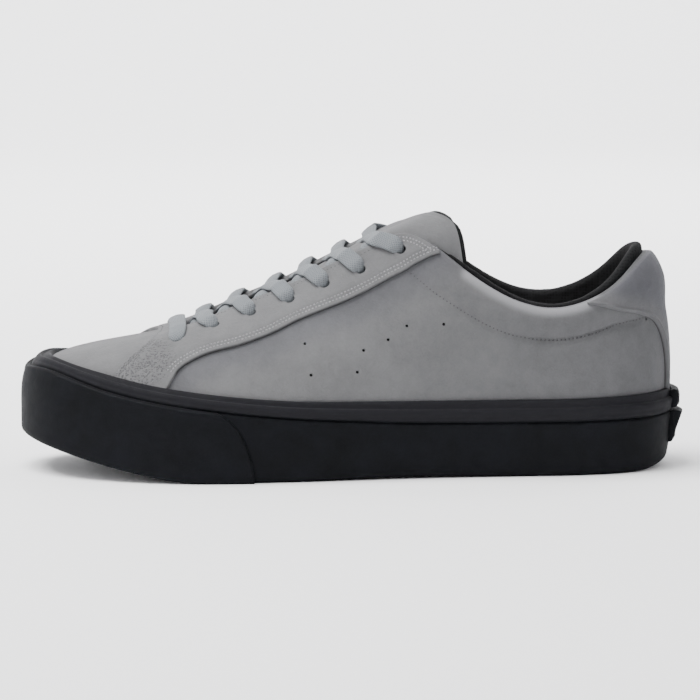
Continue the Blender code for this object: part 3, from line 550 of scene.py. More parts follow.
def suedeMaterial(name, look):  # buffed split leather: no gloss, brushed nap that clouds lighter and darker
    material, tree, place, clouds, mottle, fibre, grain = startMaterial(name, {
        "Roughness": 0.92, "IOR": 1.45, "Specular IOR Level": 0.20,
        "Sheen Weight": 0.14, "Sheen Roughness": 0.50, "Sheen Tint": linearColour("#b8b8bc"),
    }, look["textures"])
    parts = ((clouds, 0.34), (mottle, 0.30), (grain, 0.16), (fibre, 0.20))
    colour = toneColour(tree, parts, ((0.30, look["deep"]), (0.50, look["middle"]), (0.72, look["raised"])))
    masks = {}
    for mask in ("paintedEdgeShadow", "paintedCollarHighlight", "stipple", "coolTone", "paintedShadeUnderFacing"):
        masks[mask] = addNode(tree, "ShaderNodeAttribute", output="Fac", attribute_name=mask)
    inputs = {"Vector": place, "Scale": 1000 / look["dotMm"], "Randomness": 0.9}
    dots = addNode(tree, "ShaderNodeTexVoronoi", inputs, "Distance")
    inputs = {"Value": dots, "From Min": 0.15, "From Max": 0.55, "To Min": 1.0, "To Max": 0.0}
    dotMask = addNode(tree, "ShaderNodeMapRange", inputs)
    inputs = {0: masks["stipple"], 1: dotMask}
    masks["speckle"] = addNode(tree, "ShaderNodeMath", inputs, operation="MULTIPLY")
    # painted shade: the suede darkens along X towards the heel
    along = addNode(tree, "ShaderNodeSeparateXYZ", {0: place})
    inputs = {
        "Value": along, "From Min": look["rearShadeFrom"], "From Max": look["rearShadeTo"],
        "To Min": 0.0, "To Max": 1.0,
    }
    masks["paintedRearShade"] = addNode(tree, "ShaderNodeMapRange", inputs)
    for mask, tint, blend in look["tints"]:
        inputs = {0: masks[mask], 6: colour, 7: linearColour(tint)}
        colour = addNode(tree, "ShaderNodeMix", inputs, 2, data_type="RGBA", blend_type=blend)
    dents = addNode(tree, "ShaderNodeMath", {0: masks["speckle"], 1: -1.0}, operation="MULTIPLY")
    return finishMaterial(material, colour, (
        (mottle, 0.35, 0.0007), (grain, 0.45, 0.00035), (fibre, 0.60, 0.00022), (dents, 0.9, 0.0004),
    ))


rubberLook = {
    "deep": "#0a0b0d",
    "raised": "#121317",
    "tape": "#1b1b1e",  # the narrow upper tapes are drawn a lighter grey
    "textures": (  # bloom, speck, smear; mould texture is 0.2 mm, drawn coarser
        (22, 4.0, 0.6, 0.8), (0.9, 3.0, 0.6, 0.0), (4.5, 3.0, 0.55, 0.4),
    ),
}


def rubberMaterial(name, look, roughness):  # vulcanised rubber: near black, soft sheen, dusty bloom
    material, tree, place, bloom, speck, smear = startMaterial(
        name, {"IOR": 1.52, "Specular IOR Level": 0.06}, look["textures"]
    )
    colour = toneColour(tree, ((bloom, 0.7), (speck, 0.3)), ((0.35, look["deep"]), (0.68, look["raised"])))
    tape = addNode(tree, "ShaderNodeAttribute", output="Fac", attribute_name="tape")
    inputs = {0: tape, 6: colour, 7: linearColour(look["tape"])}
    dusty = addNode(tree, "ShaderNodeMix", inputs, 2, data_type="RGBA")
    worn = addNode(tree, "ShaderNodeMath", {0: bloom, 1: smear}, operation="ADD")
    inputs = {
        "Value": worn, "From Min": 0.7, "From Max": 1.3,
        "To Min": roughness - 0.06, "To Max": roughness + 0.08,
    }
    rough = addNode(tree, "ShaderNodeMapRange", inputs)
    tree.links.new(rough, tree.nodes["Principled BSDF"].inputs["Roughness"])
    return finishMaterial(material, dusty, ((smear, 0.25, 0.0003), (speck, 0.35, 0.00012)))


liningLook = {"deep": "#0b0b0c", "raised": "#151516", "meshMm": 1.3, "textures": ((0.6, 2.0, 0.6, 0.0),)}


def liningMaterial(name, look):  # spacer-mesh textile over foam: matt black, small open cells
    material, tree, place, fuzz = startMaterial(name, {
        "Roughness": 0.90, "IOR": 1.50, "Specular IOR Level": 0.12,
        "Sheen Weight": 0.05, "Sheen Roughness": 0.4, "Sheen Tint": linearColour("#6a6a6e"),
    }, look["textures"])
    inputs = {"Vector": place, "Scale": 1000 / look["meshMm"], "Randomness": 0.25}
    cells = addNode(tree, "ShaderNodeTexVoronoi", inputs, "Distance")
    inputs = {"Value": cells, "From Min": 0.15, "From Max": 0.55, "To Min": 0.0, "To Max": 1.0}
    thread = addNode(tree, "ShaderNodeMapRange", inputs)
    colour = toneColour(tree, ((thread, 0.7), (fuzz, 0.3)), ((0.2, look["deep"]), (0.85, look["raised"])))
    return finishMaterial(material, colour, ((thread, 0.35, 0.00022), (fuzz, 0.3, 0.00012)))


laceLook = {
    "deep": "#55595c",
    "raised": "#6e7276",
    "ribMm": 1.05,
    "braidMm": 1.3,
    "textures": ((0.7, 3.0, 0.6, 0.0),),
}


def laceMaterial(name, look):  # flat polyester braid: slanting ribs along the lace, soft lustre
    material, tree, place, fuzz = startMaterial(name, {
        "Roughness": 0.78, "IOR": 1.50, "Specular IOR Level": 0.35,
        "Sheen Weight": 0.12, "Sheen Roughness": 0.45, "Sheen Tint": linearColour("#c4c6ca"),
    }, look["textures"])
    surface = addNode(tree, "ShaderNodeTexCoord", output="UV")
    along, around, _ = addNode(tree, "ShaderNodeSeparateXYZ", {0: surface}, None).outputs
    waves = []
    for sign in (1, -1):  # ribs slant both ways
        inputs = {0: around, 1: sign * math.tau * 1000 / look["braidMm"]}
        turn = addNode(tree, "ShaderNodeMath", inputs, operation="MULTIPLY")
        inputs = {0: along, 1: math.tau * 1000 / look["ribMm"], 2: turn}
        slant = addNode(tree, "ShaderNodeMath", inputs, operation="MULTIPLY_ADD")
        waves.append(addNode(tree, "ShaderNodeMath", {0: slant}, operation="SINE"))
    ribs = addNode(tree, "ShaderNodeMath", {0: waves[0], 1: waves[1]}, operation="MAXIMUM")
    inputs = {"Value": ribs, "From Min": -0.3, "From Max": 1.0, "To Min": 0.0, "To Max": 1.0}
    braid = addNode(tree, "ShaderNodeMapRange", inputs)
    colour = toneColour(tree, ((braid, 0.6), (fuzz, 0.4)), ((0.15, look["deep"]), (0.8, look["raised"])))
    return finishMaterial(material, colour, ((braid, 0.55, 0.00028), (fuzz, 0.4, 0.00014)))


def threadMaterial(name, dark, light):  # twisted polyester thread, a little shinier than the suede
    material, tree, _, strands = startMaterial(name, {
        "Roughness": 0.62, "IOR": 1.50, "Sheen Weight": 0.15, "Sheen Roughness": 0.4,
    }, ((0.8, 2.0, 0.5, 0.0),))
    colour = toneColour(tree, ((strands, 1.0),), ((0.35, dark), (0.65, light)))
    return finishMaterial(material, colour, ((strands, 0.4, 0.0001),))


def spongeMaterial(name, dark, light):  # open-cell foam: fine pores
    shaderInputs = {"Roughness": 0.9, "IOR": 1.45, "Specular IOR Level": 0.25}
    material, tree, place = startMaterial(name, shaderInputs, ())
    pores = addNode(tree, "ShaderNodeTexVoronoi", {"Vector": place, "Scale": 1000 / 1.1}, "Distance")
    colour = toneColour(tree, ((pores, 1.0),), ((0.1, dark), (0.6, light)))
    return finishMaterial(material, colour, ((pores, 0.5, 0.0002),))


suede = suedeMaterial("greyBuffedSuede", suedeLook)
soleRubber = rubberMaterial("blackVulcanisedRubber", rubberLook, 0.64)
treadRubber = rubberMaterial("blackTreadRubber", rubberLook, 0.70)
lining = liningMaterial("blackMeshLining", liningLook)
laceCloth = laceMaterial("greyFlatBraid", laceLook)
paleThread = threadMaterial("paleGreyThread", "#6e6e70", "#88888a")
midThread = threadMaterial("midGreyThread", "#3c3c3e", "#505052")
# near-black thread for the collar seam: painted shade of its recessed stitch holes
shadedHoleThread = threadMaterial("threadPaintedWithHoleShade", "#262628", "#38383a")
sponge = spongeMaterial("blackSponge", "#101011", "#2a2a2b")
print("materials made")


# Suede shell: vamp and quarters in one, folded over at the throat and collar

shellSize = {
    "columns": 620,
    "levels": 83,
    "thickness": 0.0014,
    "footLevels": (0, 0.04, 0.08),
    "edgeLevels": (0.97, 0.98, 0.987, 0.993, 0.997, 1.0),
    "foldAngles": (30, 60, 90, 120, 150),
    "foldRise": 0.8,
    "insideLevels": (1.0, 0.98, 0.95, 0.85, 0.7, 0.5, 0.3, 0.12, 0.0),
    "pinholeRadius": 0.00068,
    "pinholeDepth": 0.0060,
    "paintedShadeUnderFacing": (0.0015, 0.0190),
    "paintedHighlightRows": (10.9, 13.6),
    "paintedHighlightLevel": 0.985,
    "paintedCollarHighlight": (0.0006, 0.0046),
}
pinholes = (  # row, share: the small dots on the lateral quarter
    (6.79, 0.424), (7.02, 0.186), (7.93, 0.187), (8.04, 0.323),
    (8.64, 0.365), (9.13, 0.443), (10.14, 0.517), (14.90, 0.567),
)
eyelets = (
    (3.72, 0.638), (4.51, 0.769), (5.34, 0.808), (6.21, 0.827), (7.03, 0.850), (7.91, 0.857), (8.98, 0.896),
)
eyeletRadius = 0.0023
eyeletDepth = 0.010


def eyeletPlace(index, side, out=0.0):  # side -1 is lateral, 1 medial
    row, share = eyelets[index]
    row = row if side < 0 else rowsAround - row
    at = np.array([row])
    level = aboveRim(at, share)
    return skin(at, level, out)[0], upperNormal(at, level)[0], row, float(level[0])


def eyeletHoles():
    holes = []
    for side in (-1, 1):
        for index in range(len(eyelets)):
            place, normal, _, _ = eyeletPlace(index, side)
            holes.append((place, normal, eyeletRadius, eyeletDepth))
    return holes


def buildSuedeShell():
    rows = np.arange(shellSize["columns"]) * rowsAround / shellSize["columns"]
    thick = shellSize["thickness"]
    middle = np.linspace(0.12, 0.96, shellSize["levels"])
    levels = np.concatenate([shellSize["footLevels"], middle, shellSize["edgeLevels"]])
    outer = [skin(rows, np.full(len(rows), level)) for level in levels]
    edge = outer[-1]
    inward = -upperNormal(rows, np.ones(len(rows)))
    up = unit(upperSurface(rows, 1.0) - upperSurface(rows, 0.99))
    fold = []
    for angle in np.radians(shellSize["foldAngles"]):
        into, rise = thick / 2 * (1 - math.cos(angle)), thick / 2 * math.sin(angle) * shellSize["foldRise"]
        fold.append(edge + inward * into + up * rise)
    inner = [skin(rows, np.full(len(rows), level), -thick) for level in shellSize["insideLevels"]]
    piece = gridObject("suedeShell", np.stack(outer + fold + inner, 1), True, True, suede)
    holes = eyeletHoles()
    for row, share in pinholes:
        at = np.array([row])
        level = aboveRim(at, share)
        place, normal = skin(at, level)[0], upperNormal(at, level)[0]
        holes.append((place, normal, shellSize["pinholeRadius"], shellSize["pinholeDepth"]))
    punch(piece, holes)
    points = meshPoints(piece.data)
    # painted shade on the quarter beside the facing's lower edges
    edges = [partLine(facingEdge, *span) for span in facingParts[1:]]
    under = [1 - smoothStep(distanceTo(points, line), *shellSize["paintedShadeUnderFacing"]) for line in edges]
    addAttribute(piece.data, "paintedShadeUnderFacing", np.max(under, 0))
    # painted highlight along the rolled top edge of the collar
    rolled = []
    first, last = shellSize["paintedHighlightRows"]
    for low, high in ((first, last), (rowsAround - last, rowsAround - first)):
        line = edgePolyline(np.linspace(low, high, 120), np.full(120, shellSize["paintedHighlightLevel"]), 300)
        rolled.append(1 - smoothStep(distanceTo(points, line), *shellSize["paintedCollarHighlight"]))
    addAttribute(piece.data, "paintedCollarHighlight", np.max(rolled, 0))
    return finished(piece, "grey_suede", "upper")


# Overlays: facing round the throat with its wings, and the backstay, each with a rounded cut edge

facingEdge = (
    (0.00, 0.870), (1.16, 0.843), (2.44, 0.691), (2.98, 0.470), (3.27, -0.060), (4.36, -0.060),
    (4.41, 0.205), (4.55, 0.314), (4.87, 0.413), (5.42, 0.476), (5.98, 0.547), (6.56, 0.623),
    (7.66, 0.682), (8.93, 0.754), (9.55, 0.851), (10.15, 0.968),
)
backstayEdge = (
    (13.40, 0.975), (13.70, 0.885), (14.00, 0.790), (14.75, 0.616), (15.10, 0.530), (15.33, 0.410),
    (15.46, 0.270), (15.60, -0.060), (16.00, -0.060),
)
overlaySize = {
    "thickness": 0.0017,
    "rounding": 0.0007,
    "edgeShare": 0.42,
    "levels": 46,
    "gather": 0.65,
    "bead": 0.0006,
    "beadInset": 0.0012,
    "beadWidth": 0.0007,
    "fullness": 0.00028,
    "fullInset": 0.0058,
    "fullWidth": 0.0030,
    "channel": 0.00016,
    "channelWidth": 0.0006,
    "underneath": -0.0001,
    "coolTone": (0.0030, 0.0110),
    "stipple": (0.009, 0.015),
    "stitchInsets": (0.0021, 0.0037),
    "topShare": 0.994,
    "coarseStep": 0.055,
    "fineStep": 0.012,
}


def stepsAlong(table, fineSpans):
    stops = [table[0][0]]
    while stops[-1] < table[-1][0] - 1e-9:
        fine = any(a <= stops[-1] < b for a, b in fineSpans)
        stops.append(min(stops[-1] + overlaySize["fineStep" if fine else "coarseStep"], table[-1][0]))
    return np.array(stops)


def edgePolyline(rows, shares, count=4200):
    points = skin(rows, aboveRim(rows, shares))
    run = runAlong(points)
    even = np.linspace(0, run[-1], count)
    return np.stack([np.interp(even, run, points[:, i]) for i in range(3)], -1)


def distanceTo(points, line):
    tree = pointTree(line)
    return np.array([tree.find(p)[2] for p in points.reshape(-1, 3)]).reshape(points.shape[:-1])


def overlayPiece(name, rows, shares, folds, stippleFrom=None):  # folds: line, darkness, width of the painted shadow
    size = overlaySize
    low, high = aboveRim(rows, shares), aboveRim(rows, size["topShare"])
    across = np.linspace(0, 1, size["levels"])
    closer = 0.5 - 0.5 * np.cos(math.pi * across)  # lines lie closer near both edges
    across = (1 - size["gather"]) * across + size["gather"] * closer
    v = low[:, None] + (high - low)[:, None] * across[None]
    spread = rows[:, None] + 0 * v
    flat = skin(spread, v)
    lowLine = edgePolyline(rows, shares)
    highLine = edgePolyline(rows, np.full(len(rows), size["topShare"]))
    toLow, toHigh = distanceTo(flat, lowLine), distanceTo(flat, highLine)
    near = np.minimum(toLow, toHigh)
    t = np.clip(near / size["rounding"], 0, 1)
    rounded = size["edgeShare"] + (1 - size["edgeShare"]) * np.sqrt(1 - (1 - t) ** 2)
    height = size["thickness"] * rounded
    if stippleFrom is None:
        height = height + size["bead"] * np.exp(-((toLow - size["beadInset"]) / size["beadWidth"]) ** 2)
    else:  # fuller behind the stitch rows
        height = height + size["fullness"] * np.exp(-((toLow - size["fullInset"]) / size["fullWidth"]) ** 2)
        for inset in size["stitchInsets"]:
            height = height - size["channel"] * np.exp(-((toLow - inset) / size["channelWidth"]) ** 2)
    over = skin(spread, v, height)
    under = skin(spread[:, ::15], v[:, ::15], size["underneath"])
    grid = np.concatenate([over, under[:, ::-1]], 1)
    piece = gridObject(name, grid, False, True, suede, 70)
    points = meshPoints(piece.data)
    # painted shadow: each folded edge darkened over the given width, standing in for the shade under it
    shadows = []
    for line, dark, width in folds:
        shadows.append(dark * (1 - smoothStep(distanceTo(points, line), 0.2 * width, width)))
    addAttribute(piece.data, "paintedEdgeShadow", np.max(shadows, 0))
    if stippleFrom is None:  # the backstay's middle is a cooler grey
        cool = smoothStep(distanceTo(points, lowLine), *size["coolTone"])
        addAttribute(piece.data, "coolTone", cool)
    else:
        centres = [skin(np.array([r]), aboveRim(np.array([r]), s))[0] for r, s in stippleFrom]
        spots = np.min([np.linalg.norm(points - c, axis=-1) for c in centres], 0)
        addAttribute(piece.data, "stipple", 1 - smoothStep(spots, *size["stipple"]))
    return piece


facingParts = ((-3.23, 3.23), (4.40, 10.12), (-10.12, -4.40))  # the front edge, then each side's lower edge


def partLine(table, first, last):
    rows = np.linspace(first, last, 700)
    return edgePolyline(rows, followTable(table, np.abs(rows)), 700)


def buildFacing():
    side = stepsAlong(facingEdge, ((2.35, 3.30), (4.33, 5.0), (9.3, 10.2)))
    rows = np.concatenate([-side[:0:-1], side])
    shares = followTable(facingEdge, np.abs(rows))
    wings = [(3.4, 0.16), (3.6, 0.30), (3.2, 0.42), (28.6, 0.16), (28.4, 0.30), (28.8, 0.42)]
    lines = [partLine(facingEdge, *span) for span in facingParts]
    folds = [(line, 1.0, 0.0020) for line in lines[1:]]
    folds.append((partLine(facingEdge, 0.8, 3.23), 0.6, 0.0018))
    piece = overlayPiece("facing", rows, shares, folds, wings)
    return finished(punch(piece, eyeletHoles()), "grey_suede", "eyestay"), lines


def buildBackstay():
    side = stepsAlong(backstayEdge, ((13.4, 14.1), (15.0, 15.65)))
    rows = np.concatenate([side, 2 * heelRow - side[-2::-1]])
    shares = followTable(backstayEdge, heelRow - np.abs(rows - heelRow))
    lowLine = edgePolyline(rows, shares)
    piece = overlayPiece("backstay", rows, shares, [(lowLine, 0.8, 0.0007)])
    return finished(piece, "grey_suede", "heel_tab")


suedeShell = buildSuedeShell()
facing, facingLines = buildFacing()
buildBackstay()
print("suede pieces made")


# Inside: textile lining of the wall, padded collar, footbed

liningSize = {"columns": 480, "levels": 44, "from": 0.02, "to": 0.985, "clear": 0.0001}
collarSize = {
    "columns": 420,
    "firstRow": 9.55,
    "endRows": 0.9,
    "clear": 0.0002,
    "outerLevels": (0.66, 0.80, 0.90, 0.96, 0.99),
    "foldDepth": 0.0009,
    "foldLift": 0.0004,
    "foldSteps": 19,
    "rollPower": 0.75,
    "top": 0.985,
    "bottom": 0.60,
    "innerSteps": 30,
    "puff": 0.0010,
    "puffPower": 0.7,
    "rollGain": 1.35,
    "seamInside": 0.00035,
    "seamLevel": 0.90,
    "seamWidth": 0.010,
}


def wallInside(row, v, depth, lift=0.0):
    row, v, depth, lift = np.broadcast_arrays(*(np.asarray(a, float) for a in (row, v, depth, lift)))
    point = upperSurface(row, v) - upperNormal(row, v) * depth[..., None]
    point[..., 2] += lift
    return point


def buildWallLining():
    count = liningSize["columns"]
    rows = np.arange(count) * rowsAround / count
    levels = np.linspace(liningSize["from"], liningSize["to"], liningSize["levels"])
    outside = shellSize["thickness"] + liningSize["clear"]
    faceIn = [wallInside(rows, np.full(count, level), shoe["wall"]) for level in levels]
    faceOut = [wallInside(rows, np.full(count, level), outside) for level in levels[::-4]]
    piece = gridObject("wallLining", np.stack(faceIn + faceOut, 1), True, True, lining)
    return finished(piece, "black_lining")


def buildCollarPad():
    size = collarSize
    rows = np.linspace(size["firstRow"], rowsAround - size["firstRow"], size["columns"])
    ends = smoothStep(fromToe(rows), size["firstRow"], size["firstRow"] + size["endRows"])
    loop = []
    for v in size["outerLevels"]:
        loop.append(wallInside(rows, np.full(len(rows), v), shellSize["thickness"] + size["clear"]))
    thick, roll = wallAt(rows, 1.0), rollAt(rows) * size["rollGain"]
    for angle in np.radians(np.linspace(0, 180, size["foldSteps"])):
        depth = size["foldDepth"] + (thick - size["foldDepth"]) * (1 - math.cos(angle)) / 2
        lift = size["foldLift"] * ends + roll * math.sin(angle) ** size["rollPower"]
        loop.append(wallInside(rows, 1.0, depth, lift))
    for v in np.linspace(size["top"], size["bottom"], size["innerSteps"]):
        down = math.sin(math.pi * (size["top"] - v) / (size["top"] - size["bottom"]))
        depth = wallAt(rows, v) + size["puff"] * ends * max(down, 0.0) ** size["puffPower"]
        depth = depth - size["seamInside"] * math.exp(-((v - size["seamLevel"]) / size["seamWidth"]) ** 2)
        loop.append(wallInside(rows, np.full(len(rows), v), depth))
    return gridObject("collarPad", np.stack(loop, 1), False, True, lining)


simulation = {"voxel": 0.0025, "pressure": 4.0, "frames": 20, "neighbours": 4}


def puffUp(piece, cap, weights=None):  # cloth under pressure on a coarse copy, carried to the fine mesh
    coarse = piece.copy()
    coarse.data = piece.data.copy()
    bpy.context.scene.collection.objects.link(coarse)
    remesh = coarse.modifiers.new("coarse", "REMESH")
    remesh.mode = "VOXEL"
    remesh.voxel_size = simulation["voxel"]
    bakeModifiers(coarse)
    before = meshPoints(coarse.data)
    cloth = coarse.modifiers.new("pressure", "CLOTH")
    cloth.settings.use_pressure = True
    cloth.settings.uniform_pressure_force = simulation["pressure"]
    cloth.settings.effector_weights.gravity = 0
    cloth.settings.quality = 5
    cloth.point_cache.frame_end = simulation["frames"]
    scene = bpy.context.scene
    for step in range(1, simulation["frames"] + 1):
        scene.frame_set(step)
    bakeModifiers(coarse)
    moved = meshPoints(coarse.data) - before
    length = np.linalg.norm(moved, axis=-1, keepdims=True)
    moved = moved * np.minimum(1, cap / np.maximum(length, 1e-9))
    tree = pointTree(before)
    points = meshPoints(piece.data)
    shifted = np.zeros_like(points)
    for i, p in enumerate(points):
        found = tree.find_n(p, simulation["neighbours"])
        weight = np.array([1 / (f[2] + 1e-4) for f in found])
        shifted[i] = (moved[[f[1] for f in found]] * weight[:, None]).sum(0) / weight.sum()
    if weights is not None:
        shifted = shifted * weights(points)[:, None]
    setPoints(piece.data, points + shifted)
    bpy.data.objects.remove(coarse)
    scene.frame_set(1)
    meanMove = np.linalg.norm(shifted, axis=-1).mean() * 1000
    print("simulated", piece.name, "mean move mm", round(float(meanMove), 2))
    return piece


footbedSize = {
    "thickness": 0.0040, "columns": 240, "across": 36, "clear": 0.0003,
    "cup": 0.0030, "cupPower": 6, "cupFrom": -0.02, "cupTo": 0.09,
}


def buildFootbed():
    half = footbedSize["columns"]
    rows = np.linspace(0, heelRow, half)
    sides = []
    for r in (rows, rowsAround - rows):
        sides.append(wallInside(r, np.zeros(half), shoe["wall"] + footbedSize["clear"])[:, :2])
    share = np.linspace(0, 1, footbedSize["across"])[None, :, None]
    plan = sides[0][:, None] * (1 - share) + sides[1][:, None] * share
    cup = footbedSize["cup"] * np.abs(2 * share[..., 0] - 1) ** footbedSize["cupPower"]
    rise = cup * smoothStep(plan[..., 0], footbedSize["cupFrom"], footbedSize["cupTo"])
    base = seatHeight(plan[..., 0]) + footbedSize["clear"]
    top = np.concatenate([plan, (base + footbedSize["thickness"] + rise)[..., None]], -1)
    bottom = np.concatenate([plan, base[..., None]], -1)[:, ::-5]
    piece = gridObject("footbed", np.concatenate([top, bottom], 1), False, True, lining)
    return finished(piece, "black_lining", "insole")


buildWallLining()
collarPad = puffUp(buildCollarPad(), 0.0012)
finished(collarPad, "black_lining")
buildFootbed()
print("inside made")


# Tongue: suede face over a padded black lining whose edge shows behind it

tongueSize = {
    "thickness": 0.0040,
    "pastThroat": 0.0180,
    "middleReach": 0.88,
    "lacedLift": 0.0024,
    "underlap": 0.011,
    "rows": (2.4, 9.0),
    "frontRow": 2.2,
    "sideRow": 11.0,
    "sideLevel": 0.95,
    "sideRoom": 0.0012,
    "rise": 0.36,
    "crown": 0.05,
    "lean": (1.35, 1.0, 0.45),
    "laceRoom": 0.0023,
    "points": 61,
    "lines": 46,
    "freeLines": 22,
    "freeLift": 0.0006,
    "acrossStep": 0.0011,
    "pillow": 0.0013,
    "pillowReach": 0.016,
    "channel": 0.00045,
    "channelInset": 0.0046,
    "channelWidth": 0.0008,
    "rounding": 0.0020,
    "roundDrop": 0.0014,
    "edgeShare": 0.45,
    "faceLift": 0.0009,
}


def resample(points, count):
    run = runAlong(points[:, :3])
    fine = np.linspace(0, run[-1], 400)
    slope = np.gradient(points, run, axis=0)
    low = np.clip(np.searchsorted(run, fine, side="right") - 1, 0, len(points) - 2)
    h = (run[low + 1] - run[low])[:, None]
    t = (fine - run[low])[:, None] / h
    curve = curveBetween(t, h, points[low], slope[low], points[low + 1], slope[low + 1])
    length = runAlong(curve[:, :3])
    even = np.linspace(0, length[-1], count)
    return np.stack([np.interp(even, length, column) for column in curve.T], -1)


def levelFromEdge(row, distance):
    samples = np.linspace(1, 0.3, 71)
    line = upperSurface(np.full(71, float(row)), samples)
    run = runAlong(line)
    return float(np.interp(distance, run, samples))


def tongueSection(row):
    points = []
    for signed in (row, -row):
        under = levelFromEdge(signed % rowsAround, tongueSize["underlap"])
        at = np.array([signed % rowsAround])
        depth = shoe["wall"] + tongueSize["laceRoom"]
        points.append([wallInside(at, np.array([v]), depth)[0] for v in (under, (under + 1) / 2, 1.0)])
    lateral, medial = points[0], points[1][::-1]
    middle = (lateral[-1] + medial[0]) / 2
    width = np.linalg.norm(lateral[-1] - medial[0])
    middle[2] += tongueSize["crown"] * row / tongueSize["rows"][1] * width
    return resample(np.array(lateral + [middle] + medial), tongueSize["points"])


def tongueFree(last, share):
    size = tongueSize
    row = size["rows"][1] + (size["sideRow"] - size["rows"][1]) * share
    ends = []
    for signed in (row, rowsAround - row):
        at, level = np.array([signed]), np.array([size["sideLevel"]])
        ends.append(wallInside(at, level, wallAt(at, level) + size["sideRoom"])[0])
    reach = np.array([size["pastThroat"], 0, size["rise"] * size["pastThroat"]]) * share
    lean = np.array(size["lean"])
    middle = size["middleReach"]
    count = size["points"] - 1
    quarter, half = round(count * 0.2), count // 2
    left, right = last[quarter] + reach * lean, last[count - quarter] + reach * lean
    points = [ends[0], left, last[half] + reach * middle, right, ends[1]]
    return resample(np.array(points), size["points"])


def tongueGrid():
    front = np.linspace(tongueSize["frontRow"], -tongueSize["frontRow"], tongueSize["points"]) % rowsAround
    levels = np.array([levelFromEdge(row, tongueSize["underlap"]) for row in front])
    lines = [wallInside(front, levels, shoe["wall"] + 0.0012)]
    lines += [tongueSection(row) for row in np.linspace(*tongueSize["rows"], tongueSize["lines"])]
    last = lines[-1]
    lines += [tongueFree(last, share) for share in np.linspace(0, 1, tongueSize["freeLines"] + 1)[1:]]
    grid = np.array(lines)
    for _ in range(3):  # evens out the joint between the laced part and the free end
        grid[1:-1] = grid[1:-1] * 0.5 + (grid[:-2] + grid[2:]) * 0.25
    free = smoothStep(np.arange(len(grid)), len(grid) * 0.62, len(grid) * 0.92)[:, None]
    laced = smoothStep(np.arange(len(grid)), len(grid) * 0.08, len(grid) * 0.25)[:, None]
    bow = 1 - np.abs(np.linspace(-1, 1, tongueSize["points"]))[None] ** 2.5
    lift = tongueSize["lacedLift"] * laced + tongueSize["freeLift"] * free
    grid[..., 2] += lift * bow  # the padding lifts the middle, most of all above the top lace
    normal = unit(np.cross(np.gradient(grid, axis=0), np.gradient(grid, axis=1)))
    normal *= np.sign(normal[:, tongueSize["points"] // 2, 2])[:, None, None]
    return grid, normal


def buildTongue():
    size = tongueSize
    grid, normal = tongueGrid()
    count, width = grid.shape[:2]
    fromEnd = np.linalg.norm(grid - grid[-1:], axis=-1)
    steps = np.minimum(np.arange(width), np.arange(width)[::-1])[None]
    inside = np.minimum(fromEnd, steps * size["acrossStep"] + 0 * fromEnd)
    free = smoothStep(np.arange(count), count * 0.50, count * 0.80)[:, None]
    swell = np.sin(np.clip(inside / size["pillowReach"], 0, 1) * math.pi / 2) ** 0.8
    pillow = size["pillow"] * free * swell
    channel = size["channel"] * free * np.exp(-((inside - size["channelInset"]) / size["channelWidth"]) ** 2)
    rounded = np.sqrt(1 - (1 - np.clip(inside / size["rounding"], 0, 1)) ** 2)
    top = grid + normal * (pillow - channel - size["roundDrop"] * (1 - rounded))[..., None]
    depth = size["thickness"] * (size["edgeShare"] + (1 - size["edgeShare"]) * rounded)
    depth = depth * np.clip(np.arange(count) / 5, 0.4, 1)[:, None]  # thinner at the front end
    below = grid - normal * depth[..., None]
    padTop = top - normal * size["faceLift"]
    pad = gridObject("tonguePad", np.concatenate([padTop, below[:, ::-2]], 1), False, True, lining, 80)
    cut = slice(0, count - 2)
    face = top[cut, 1:-1]
    back = (top + normal * (0.0001 - size["faceLift"]))[cut, 1:-1]
    suedeFace = gridObject("tongueFace", np.concatenate([face, back[:, ::-3]], 1), False, True, suede, 80)
    return pad, suedeFace, grid


tonguePad, tongueFace, tongueTop = buildTongue()
freeFrom = float(tongueTop[tongueSize["lines"] + 2, :, 0].min())


def freeEndOnly(points):
    return smoothStep(points[:, 0], freeFrom - 0.004, freeFrom + 0.008)


puffUp(tonguePad, 0.0007, freeEndOnly)
finished(tonguePad, "black_lining")
finished(tongueFace, "grey_suede", "tongue")
print("tongue made")


# Sole: foxing with its groove and tapes, toe guard, heel pieces, treaded outsole

foxingProfile = (  # share of the side's height, share of the foxing's wall
    (0.000, 0.38), (0.010, 0.60), (0.028, 0.80), (0.055, 0.94), (0.090, 1.00),
    (0.180, 1.00), (0.300, 1.00), (0.450, 1.00), (0.600, 1.00), (0.660, 1.00),
    (0.686, 0.985), (0.697, 0.93), (0.703, 0.84), (0.706, 0.74), (0.711, 0.68),
    (0.716, 0.68), (0.721, 0.74), (0.724, 0.84), (0.730, 0.92), (0.741, 0.98),
    (0.770, 0.99), (0.785, 0.97), (0.800, 0.97), (0.815, 1.00), (0.845, 1.02),
    (0.868, 1.01), (0.884, 0.96), (0.893, 0.86), (0.898, 0.72), (0.903, 0.60),
    (0.912, 0.55), (0.945, 0.54), (0.975, 0.50), (0.990, 0.42), (1.000, 0.26),
)


def soleSide(row, share, out):
    row, share, out = np.broadcast_arrays(*(np.asarray(a, float) for a in (row, share, out)))
    share = liftedShare(row, share)
    foot, _ = wallLine(row)
    base = groundHeight(foot[..., 0])
    height = base + share * (shoe["rimHeight"] * rimShare(row) - base)
    stand = seatHeight(foot[..., 0]) + shoe["gap"]
    flatRows = row.reshape(-1)
    level = levelAt(flatRows, np.maximum(height, stand).reshape(-1, 1)).reshape(row.shape)
    point, facingOut = upperSurface(row, level), upperNormal(row, level)
    below = height < stand
    point[..., 2] = np.where(below, height, point[..., 2])
    facingOut[..., 2] = np.where(below, 0, facingOut[..., 2])
    return point + unit(facingOut) * out[..., None]


grooveMiddle = 0.711  # the groove's share in the profile above


def liftedShare(row, share):  # the groove climbs towards the toe, and the bands keep to it
    groove = grooveShare(row)
    above = groove + (share - grooveMiddle) * (1 - groove) / (1 - grooveMiddle)
    return np.where(share < grooveMiddle, share * groove / grooveMiddle, above)


